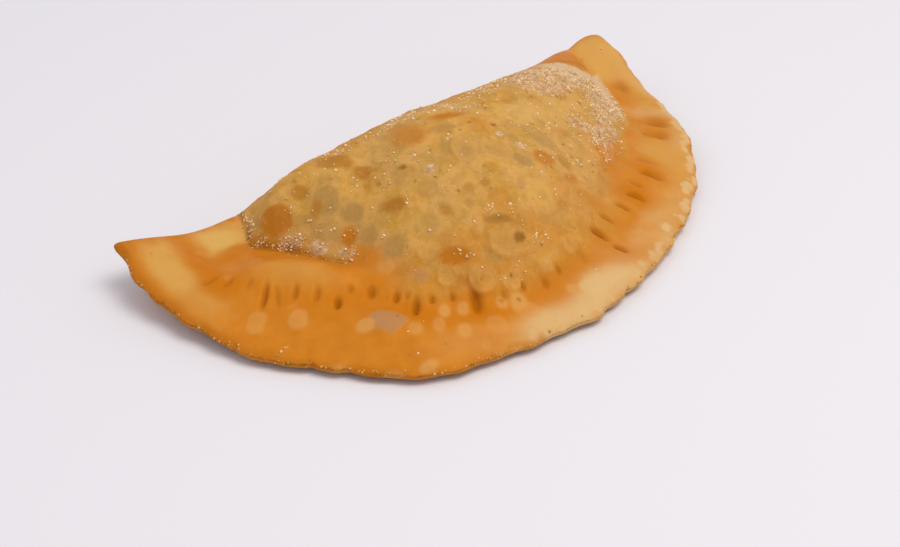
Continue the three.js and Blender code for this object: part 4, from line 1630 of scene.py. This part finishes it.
@dataclass
class Shade:
    """A material being built: its tree and the colour so far."""

    tree: bpy.types.NodeTree
    colour: Any

    def tint(self, name: str) -> Any:
        """The value of one of the mesh's own attributes."""
        return add_node(self.tree, "ShaderNodeAttribute", attribute_name=name).outputs["Fac"]

    def math(self, operation: str, a: Any, b: Any) -> Any:
        """The result of one sum on two values."""
        return add_node(self.tree, "ShaderNodeMath", {0: a, 1: b}, operation=operation).outputs[0]

    def ease(self, value: Any, ramp: Ramp) -> Any:
        """A value carried from one range to another, held at its ends."""
        inputs = {
            "Value": value,
            "From Min": ramp.low,
            "From Max": ramp.high,
            "To Min": ramp.start,
            "To Max": ramp.end,
        }
        return add_node(self.tree, "ShaderNodeMapRange", inputs, clamp=True).outputs["Result"]

    def noise(self, cloud: Cloud) -> Any:
        """Cloudy noise on the object's own coordinates."""
        inputs = {
            "Vector": add_node(self.tree, "ShaderNodeTexCoord").outputs["Object"],
            "Scale": per_size(cloud.size_mm),
            "Detail": cloud.detail,
            "Roughness": cloud.roughness,
        }
        return add_node(self.tree, "ShaderNodeTexNoise", inputs).outputs["Fac"]

    def cells(self, size_mm: float, bend_size: float = 0.6, smoothness: float = 0.12) -> Any:
        """A random value for each of the bent cells that the object's space is parted into.

        Args:
            size_mm: the cells' size.
            bend_size: the size of the noise that bends them, as a share of theirs.
            smoothness: how soft their borders are.

        Returns:
            The value, as a node's output.
        """
        where = add_node(self.tree, "ShaderNodeTexCoord").outputs["Object"]
        inputs = {"Vector": where, "Scale": per_size(size_mm * bend_size), "Detail": 1.0}
        bend = add_node(self.tree, "ShaderNodeTexNoise", inputs).outputs["Color"]
        inputs = {0: bend, 1: (size_mm * MM,) * 3, 2: where}
        bent = add_node(self.tree, "ShaderNodeVectorMath", inputs, operation="MULTIPLY_ADD").outputs[0]
        inputs = {"Vector": bent, "Scale": per_size(size_mm), "Smoothness": smoothness}
        cell = add_node(self.tree, "ShaderNodeTexVoronoi", inputs, feature="SMOOTH_F1").outputs["Color"]
        return add_node(self.tree, "ShaderNodeSeparateColor", {"Color": cell}).outputs["Red"]

    def cover(self, amount: Any, colour: Any, share: float = 1.0) -> None:
        """Lays a colour over what is there.

        Args:
            amount: how thickly it is laid, or the name of the attribute that says so.
            colour: a hex colour, or a colour from a node.
            share: by what the amount is multiplied.
        """
        if isinstance(amount, str):
            amount = self.tint(amount)
        if share != 1.0:
            amount = self.math("MULTIPLY", amount, share)
        on_top = linear(colour) if isinstance(colour, str) else colour
        inputs = {"Factor_Float": amount, "A_Color": self.colour, "B_Color": on_top}
        mixed = add_node(self.tree, "ShaderNodeMix", inputs, data_type="RGBA")
        self.colour = find_socket(mixed.outputs, "Result_Color")

    def cover_where(self, where: Any, amount: Any, colour: str) -> None:
        """Lays a colour as thickly as the amount says, in one kind of place."""
        self.cover(self.math("MULTIPLY", where, amount), colour)

    def finish(self, inputs: dict[str, Any]) -> None:
        """Adds the shader with the colour so far and the given values, and the output."""
        shader = add_node(self.tree, "ShaderNodeBsdfPrincipled", {"Base Color": self.colour, **inputs})
        add_node(self.tree, "ShaderNodeOutputMaterial", {"Surface": shader.outputs["BSDF"]})


def empty_material(name: str) -> bpy.types.Material:
    """A material whose node tree is empty."""
    made = bpy.data.materials.new(name)
    made.use_nodes = True
    made.node_tree.nodes.clear()
    return made


@dataclass(frozen=True)
class CrustFinish:
    """Wheat dough fried in oil: golden and satin where it lay flat, dry and mealy over the filling.

    Starch browns in patches, so the colour is built in layers over a golden base. Each layer names the
    attribute that says where it lies, how thick it is there, and its colour. Cells come in two sizes in
    mm, each with a strength, and the darkest and the lightest of them show. A few layers are painted
    light rather than browning: shade in the fork slits, the crease and the seam, and highlight and
    shadow on the sugar's crystals.
    """

    orange: str = "#d28325"
    deep_orange: str = "#c7781c"
    ochre: str = "#cc9c54"
    yellow_ochre: str = "#cd983f"
    amber: str = "#c67204"
    see_through: str = "#ac8448"
    dry_blister: str = "#dca862"
    layers: tuple[tuple[str, float, str], ...] = (
        ("golden", 0.85, "#debc6c"),
        ("floury", 0.85, "#dcbb82"),
        ("amber", 0.85, amber),
        ("marked", 0.3, amber),
        ("edge", 0.45, "#b8681a"),
        ("clear", 0.85, see_through),
        ("browned", 0.9, "#b96a08"),
        ("toasted", 0.85, "#a86a12"),
        ("pale", 0.6, dry_blister),
        ("dull", 0.9, "#b98556"),
    )
    dark_layers: tuple[tuple[str, float, str], ...] = (
        ("powder", 0.8, "#d8b994"),
        ("pit", 1.0, "#8f5c1e"),
        # crease: shade painted along the crease and in the hollow at the cap's back.
        ("crease", 0.7, "#8a5c1e"),
        # deep: shade painted in the fork slits.
        ("deep", 1.0, "#a8620a"),
    )
    # The seam is painted shade in the gap between the layers at the rim, over their own darker edge.
    seam: str = "#85500f"
    sugar_film: str = "#cfab89"
    film_share: float = 0.75
    # Painted highlight on the sugar's raised crystals, and painted shadow in the gaps between them.
    sugar_highlight: str = "#e8caaa"
    sugar_shadow: str = "#8c6844"
    olive: str = "#b38b45"
    tan: str = "#d8a45c"
    oily_sheen: str = "#ffbe70"
    yellow_ramp: Ramp = Ramp(0.3, 0.75)
    mottle: Cloud = Cloud(7.0, 4.0)
    mottle_ramp: Ramp = Ramp(0.35, 0.7)
    cells: tuple[tuple[float, float], ...] = ((6.5, 0.28), (2.6, 0.36))
    dark_cells: tuple[float, float] = (0.36, 0.3)
    light_cells: tuple[float, float] = (0.64, 0.7)
    meal: Cloud = Cloud(1.6, 4.0, 0.65)
    light_meal: Ramp = Ramp(0.55, 0.72, 0.0, 0.4)
    dark_meal: Ramp = Ramp(0.45, 0.28, 0.0, 0.5)
    crystals: Cloud = Cloud(2.4, 3.0, 0.75)
    # Where the sugar's crystals get painted highlight and painted shadow.
    crystal_highlights: Ramp = Ramp(0.52, 0.62, 0.0, 0.7)
    crystal_shadows: Ramp = Ramp(0.48, 0.38, 0.0, 0.75)
    broken_seam: Ramp = Ramp(0.45, 0.65, 0.0, 0.8)
    roughness: Ramp = Ramp(0.0, 1.0, 0.45, 0.65)
    meal_roughness: Ramp = Ramp(0.3, 0.7, -0.06, 0.08)
    grain: Cloud = Cloud(0.55, 2.0, 0.6)
    grain_share: float = 0.5
    mealiness: Ramp = Ramp(0.0, 1.0, 0.35, 1.0)
    bump_strength: float = 0.55
    bump_mm: float = 0.35
    refraction: float = 1.46
    specular: float = 0.2
    subsurface: float = 0.12
    scatter_radius: tuple[float, float, float] = (1.0, 0.45, 0.2)
    scatter_mm: float = 1.6

    def material(self) -> bpy.types.Material:
        """Builds the crust's material."""
        made = empty_material("fried_wheat_dough")
        shade = Shade(made.node_tree, linear(self.orange))
        meal = shade.noise(self.meal)
        belly = shade.tint("belly")
        shade.cover(shade.ease(shade.noise(self.mottle), self.mottle_ramp), self.deep_orange)
        shade.cover(belly, self.dry_base(made.node_tree))
        for size, amount in self.cells:
            cells = shade.cells(size)
            shade.cover_where(belly, shade.ease(cells, Ramp(*self.dark_cells, 0.0, amount)), self.olive)
            shade.cover_where(belly, shade.ease(cells, Ramp(*self.light_cells, 0.0, amount)), self.tan)
        for attribute, share, colour in self.layers:
            shade.cover(attribute, colour, share)
        shade.cover_where(belly, shade.ease(meal, self.light_meal), self.dry_blister)
        shade.cover_where(belly, shade.ease(meal, self.dark_meal), self.see_through)
        sugared = shade.tint("sugared")
        crystals = shade.noise(self.crystals)
        shade.cover(sugared, self.sugar_film, self.film_share)
        # Painted highlights on the raised crystals of the sugar film, and painted shadow in the gaps.
        shade.cover_where(sugared, shade.ease(crystals, self.crystal_highlights), self.sugar_highlight)
        shade.cover_where(sugared, shade.ease(crystals, self.crystal_shadows), self.sugar_shadow)
        for attribute, share, colour in self.dark_layers:
            shade.cover(attribute, colour, share)
        # Painted shade in the seam between the layers at the rim, broken up by the meal.
        shade.cover_where(shade.tint("seam"), shade.ease(meal, self.broken_seam), self.seam)
        dryness = shade.ease(belly, self.roughness)
        shade.finish(
            {
                "Roughness": shade.math("ADD", dryness, shade.ease(meal, self.meal_roughness)),
                "Normal": self.bumps(shade, belly, meal, shade.math("MULTIPLY", sugared, crystals)),
                "IOR": self.refraction,
                "Specular IOR Level": self.specular,
                "Specular Tint": linear(self.oily_sheen),
                "Subsurface Weight": self.subsurface,
                "Subsurface Radius": self.scatter_radius,
                "Subsurface Scale": self.scatter_mm * MM,
            }
        )
        return made

    def dry_base(self, tree: bpy.types.NodeTree) -> Any:
        """The dry dough's colour under its layers."""
        base = Shade(tree, linear(self.ochre))
        base.cover(base.ease(base.tint("shade"), self.yellow_ramp), self.yellow_ochre)
        return base.colour

    def bumps(self, shade: Shade, belly: Any, meal: Any, crystals: Any) -> Any:
        """The crust's fine relief as a normal: meal and grain on the dough, and sugar over it."""
        grain = shade.math("MULTIPLY", shade.noise(self.grain), self.grain_share)
        relief = shade.math("ADD", grain, meal)
        height = shade.math("MULTIPLY", relief, shade.ease(belly, self.mealiness))
        height = shade.math("ADD", height, crystals)
        inputs = {"Strength": self.bump_strength, "Distance": self.bump_mm * MM, "Height": height}
        return add_node(shade.tree, "ShaderNodeBump", inputs).outputs["Normal"]


@dataclass(frozen=True)
class GrainFinish:
    """A grain's material: two colours that the grains vary between, and how dull they are."""

    name: str
    darker: str
    lighter: str
    roughness: float
    subsurface: float
    refraction: float = 1.5
    specular: float = 0.25
    scatter_radius: tuple[float, float, float] = (1.0, 0.8, 0.6)
    scatter_mm: float = 0.6

    def material(self) -> bpy.types.Material:
        """Builds the grains' material."""
        made = empty_material(self.name)
        shade = Shade(made.node_tree, linear(self.darker))
        shade.cover("tone", self.lighter)
        shade.finish(
            {
                "Roughness": self.roughness,
                "IOR": self.refraction,
                "Specular IOR Level": self.specular,
                "Subsurface Weight": self.subsurface,
                "Subsurface Radius": self.scatter_radius,
                "Subsurface Scale": self.scatter_mm * MM,
            }
        )
        return made


# ---- Grains --------------------------------------------------------------------------------------


class Draw(IntEnum):
    """Seeds of the random draws that make the grains unlike each other."""

    SIZE = 3
    SHAPE = 4
    TURN = 5
    TONE = 6


@dataclass
class Grains:
    """Small hard bits stuck to the crust, scattered by Geometry Nodes where an attribute says.

    Sizes are in mm, and thickest is the most grains in a square millimetre. Most grains are near the
    smallest radius. lift raises their middles from the crust, as a share of that radius.
    """

    name: str
    where: str
    slot: str
    finish: GrainFinish
    spacing: float
    thickest: float
    smallest: float
    largest: float
    flattest: float
    lift: float
    seed: int
    smallness: float = 1.7

    def inputs(self) -> dict[str, float]:
        """The scatter's inputs by name, in metres."""
        return {
            "Spacing": self.spacing * MM,
            "Density": self.thickest / MM**2,
            "Smallest radius": self.smallest * MM,
            "Largest radius": self.largest * MM,
            "Flattest": self.flattest,
            "Lift": self.lift * self.smallest * MM,
        }

    def tree(self) -> bpy.types.NodeTree:
        """Builds the node tree that scatters the grains, with named inputs for their sizes."""
        tree = bpy.data.node_groups.new(f"{self.name}_scatter", "GeometryNodeTree")
        face = tree.interface
        face.new_socket("Crust", in_out="INPUT", socket_type="NodeSocketGeometry")
        for label in self.inputs():
            face.new_socket(label, in_out="INPUT", socket_type="NodeSocketFloat")
        face.new_socket("Seed", in_out="INPUT", socket_type="NodeSocketInt")
        face.new_socket("Grains", in_out="OUTPUT", socket_type="NodeSocketGeometry")
        given = add_node(tree, "NodeGroupInput").outputs
        spots = self.spots(tree, given)
        rise = {"Vector": spots["Normal"], "Scale": given["Lift"]}
        rise = add_node(tree, "ShaderNodeVectorMath", rise, operation="SCALE").outputs[0]
        lifted = {"Geometry": spots["Points"], "Offset": rise}
        lifted = add_node(tree, "GeometryNodeSetPosition", lifted).outputs["Geometry"]
        ball = add_node(tree, "GeometryNodeMeshIcoSphere", {"Radius": 1.0, "Subdivisions": 1})
        placed = {
            "Points": lifted,
            "Instance": ball.outputs["Mesh"],
            "Rotation": random_vector(tree, (0.0, 0.0, 0.0), (math.tau,) * 3, Draw.TURN),
            "Scale": self.scale(tree, given),
        }
        placed = add_node(tree, "GeometryNodeInstanceOnPoints", placed).outputs["Instances"]
        tone = random_number(tree, 0.0, 1.0, Draw.TONE)
        toned = {"Geometry": placed, "Name": "tone", "Value": tone}
        toned = add_node(
            tree, "GeometryNodeStoreNamedAttribute", toned, data_type="FLOAT", domain="INSTANCE"
        )
        real = add_node(tree, "GeometryNodeRealizeInstances", {"Geometry": toned.outputs["Geometry"]})
        dressed = {"Geometry": real.outputs["Geometry"], "Material": self.finish.material()}
        dressed = add_node(tree, "GeometryNodeSetMaterial", dressed).outputs["Geometry"]
        add_node(tree, "NodeGroupOutput", {"Grains": dressed})
        return tree

    def spots(self, tree: bpy.types.NodeTree, given: Any) -> Any:
        """Points on the crust, as dense as the attribute says, as a node's outputs."""
        named = {"Name": self.where}
        named = add_node(tree, "GeometryNodeInputNamedAttribute", named, data_type="FLOAT")
        inputs = {
            "Mesh": given["Crust"],
            "Distance Min": given["Spacing"],
            "Density Max": given["Density"],
            "Density Factor": named.outputs[0],
            "Seed": given["Seed"],
        }
        kind = "GeometryNodeDistributePointsOnFaces"
        return add_node(tree, kind, inputs, distribute_method="POISSON").outputs

    def scale(self, tree: bpy.types.NodeTree, given: Any) -> bpy.types.NodeSocket:
        """Each grain's size along its three axes: mostly small, and flattened at random."""
        power = {0: random_number(tree, 0.0, 1.0, Draw.SIZE), 1: self.smallness}
        power = add_node(tree, "ShaderNodeMath", power, operation="POWER").outputs[0]
        size = {"Value": power, "To Min": given["Smallest radius"], "To Max": given["Largest radius"]}
        size = add_node(tree, "ShaderNodeMapRange", size).outputs[0]
        shape = random_vector(tree, given["Flattest"], (1.0, 1.0, 1.0), Draw.SHAPE)
        scale = {"Vector": shape, "Scale": size}
        return add_node(tree, "ShaderNodeVectorMath", scale, operation="SCALE").outputs[0]

    def build(self, crust: bpy.types.Object) -> bpy.types.Object:
        """Scatters the grains over the crust and makes them one plain mesh."""
        carrier = add_object(f"{self.name}_carrier", crust.data.copy())
        modifier = carrier.modifiers.new("scatter", "NODES")
        modifier.node_group = self.tree()
        values = {**self.inputs(), "Seed": self.seed}
        for item in modifier.node_group.interface.items_tree:
            if item.name in values:
                modifier[item.identifier] = values[item.name]
        evaluated = carrier.evaluated_get(bpy.context.evaluated_depsgraph_get())
        mesh = bpy.data.meshes.new_from_object(evaluated)
        mesh.name = self.name
        bpy.data.objects.remove(carrier)
        return add_object(self.name, mesh)


def random_number(tree: bpy.types.NodeTree, low: float, high: float, seed: Draw) -> bpy.types.NodeSocket:
    """A random number for each grain, as a node's output."""
    values = {"Min_001": low, "Max_001": high, "Seed": seed}
    return add_node(tree, "FunctionNodeRandomValue", values, data_type="FLOAT").outputs[1]


def random_vector(tree: bpy.types.NodeTree, low: Any, high: Any, seed: Draw) -> bpy.types.NodeSocket:
    """Three random numbers for each grain, as a node's output."""
    values = {"Min": low, "Max": high, "Seed": seed}
    return add_node(tree, "FunctionNodeRandomValue", values, data_type="FLOAT_VECTOR").outputs[0]


SUGAR = Grains(
    name="sugar",
    where="sugar_grains",
    slot="coarse_sugar",
    finish=GrainFinish("coarse_sugar", "#d6ae78", "#f8dcb2", 0.6, 0.3),
    spacing=0.7,
    thickest=2.6,
    smallest=0.26,
    largest=0.7,
    flattest=0.5,
    lift=0.3,
    seed=11,
)
CRUMBS = Grains(
    name="crumbs",
    where="crumbs",
    slot="toasted_crumb",
    finish=GrainFinish("toasted_crumb", "#b4862f", "#e6bf78", 0.8, 0.0),
    spacing=0.6,
    thickest=2.6,
    smallest=0.2,
    largest=0.6,
    flattest=0.4,
    lift=0.1,
    seed=12,
)


# ---- The studio ----------------------------------------------------------------------------------


@dataclass(frozen=True)
class SoftBox:
    """A square area light: where it stands, seen from the pastry, its size and its power."""

    name: str
    azimuth: float
    elevation: float
    distance: float
    size: float
    watts: float
    colour: str


@dataclass(frozen=True)
class Studio:
    """A pale floor, soft lights and the camera, whose distance and aim are in mm."""

    floor_colour: str = "#e9e7ec"
    floor_roughness: float = 0.8
    floor_size: float = 6.0
    sky_colour: str = "#f2f1f6"
    sky_strength: float = 0.62
    boxes: tuple[SoftBox, ...] = (
        SoftBox("key_light", 30.0, 68.0, 1.3, 0.8, 9.2, "#fffaf2"),
        SoftBox("fill_light", -130.0, 50.0, 1.5, 1.2, 1.6, "#f6f8ff"),
    )
    camera_azimuth: float = -40.2
    camera_elevation: float = 34.4
    camera_distance: float = 611.0
    focal_mm: float = 76.74
    aim: tuple[float, float, float] = (-19.11, -7.09, 0.92)

    @staticmethod
    def stand(item: bpy.types.Object, middle: Vector, turns: tuple[float, float], far: float) -> None:
        """Stands a light or a camera away from a middle, and turns it to face that.

        Args:
            item: the light or the camera.
            middle: what it faces, in metres.
            turns: its azimuth from the front and its elevation, in degrees.
            far: how far it stands away, in metres.
        """
        a, e = map(math.radians, turns)
        away = Vector((math.sin(a) * math.cos(e), -math.cos(a) * math.cos(e), math.sin(e)))
        item.location = middle + away * far
        item.rotation_mode = "QUATERNION"
        item.rotation_quaternion = (-away).to_track_quat("-Z", "Y")

    def build(self) -> None:
        """Adds the floor, the world, the lights and the camera, with colours shown as they are."""
        bpy.context.scene.view_settings.view_transform = "Standard"
        self.add_floor()
        self.add_world()
        for box in self.boxes:
            self.add_light(box)
        self.add_camera()

    def add_floor(self) -> None:
        """Adds the floor that the pastry lies on."""
        half = self.floor_size / 2
        corners = [(-half, -half, 0), (half, -half, 0), (half, half, 0), (-half, half, 0)]
        mesh = bpy.data.meshes.new("floor")
        mesh.from_pydata(corners, [], [(0, 1, 2, 3)])
        floor = add_object("floor", mesh)
        made = bpy.data.materials.new("matte_paper")
        made.use_nodes = True
        shader = made.node_tree.nodes["Principled BSDF"]
        shader.inputs["Base Color"].default_value = linear(self.floor_colour)
        shader.inputs["Roughness"].default_value = self.floor_roughness
        mesh.materials.append(made)

    def add_world(self) -> None:
        """Adds an even, pale light from all round."""
        world = bpy.data.worlds.new("studio")
        world.use_nodes = True
        background = world.node_tree.nodes["Background"]
        background.inputs["Color"].default_value = linear(self.sky_colour)
        background.inputs["Strength"].default_value = self.sky_strength
        bpy.context.scene.world = world

    def add_light(self, box: SoftBox) -> None:
        """Adds one soft box, turned to the pastry."""
        data = bpy.data.lights.new(box.name, "AREA")
        data.shape = "SQUARE"
        data.size = box.size
        data.energy = box.watts
        data.color = linear(box.colour)[:3]
        light = add_object(box.name, data)
        self.stand(light, Vector((0.0, 0.0, 0.0)), (box.azimuth, box.elevation), box.distance)

    def add_camera(self) -> None:
        """Adds the camera and makes it the scene's."""
        data = bpy.data.cameras.new("camera")
        data.lens = self.focal_mm
        camera = add_object("camera", data)
        turns = (self.camera_azimuth, self.camera_elevation)
        self.stand(camera, Vector(self.aim) * MM, turns, self.camera_distance * MM)
        bpy.context.scene.camera = camera


def main() -> None:
    """Builds the crust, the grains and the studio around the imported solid."""
    logging.basicConfig(level=logging.INFO, format="%(name)s: %(message)s")
    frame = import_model()
    LOG.info("frame holds the nodes %s", sorted(frame["nodes"]))

    crust = Crust(Form(), ForkMarks()).build(CrustFinish())
    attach(crust, BODY)
    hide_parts(NODE)
    LOG.info("crust has %d triangles", len(crust.data.polygons))

    for grains in (SUGAR, CRUMBS):
        scattered = grains.build(crust)
        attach(scattered, BODY)
        LOG.info("%s has %d triangles", grains.name, len(scattered.data.polygons))

    Studio().build()


if __name__ == "__main__":
    main()
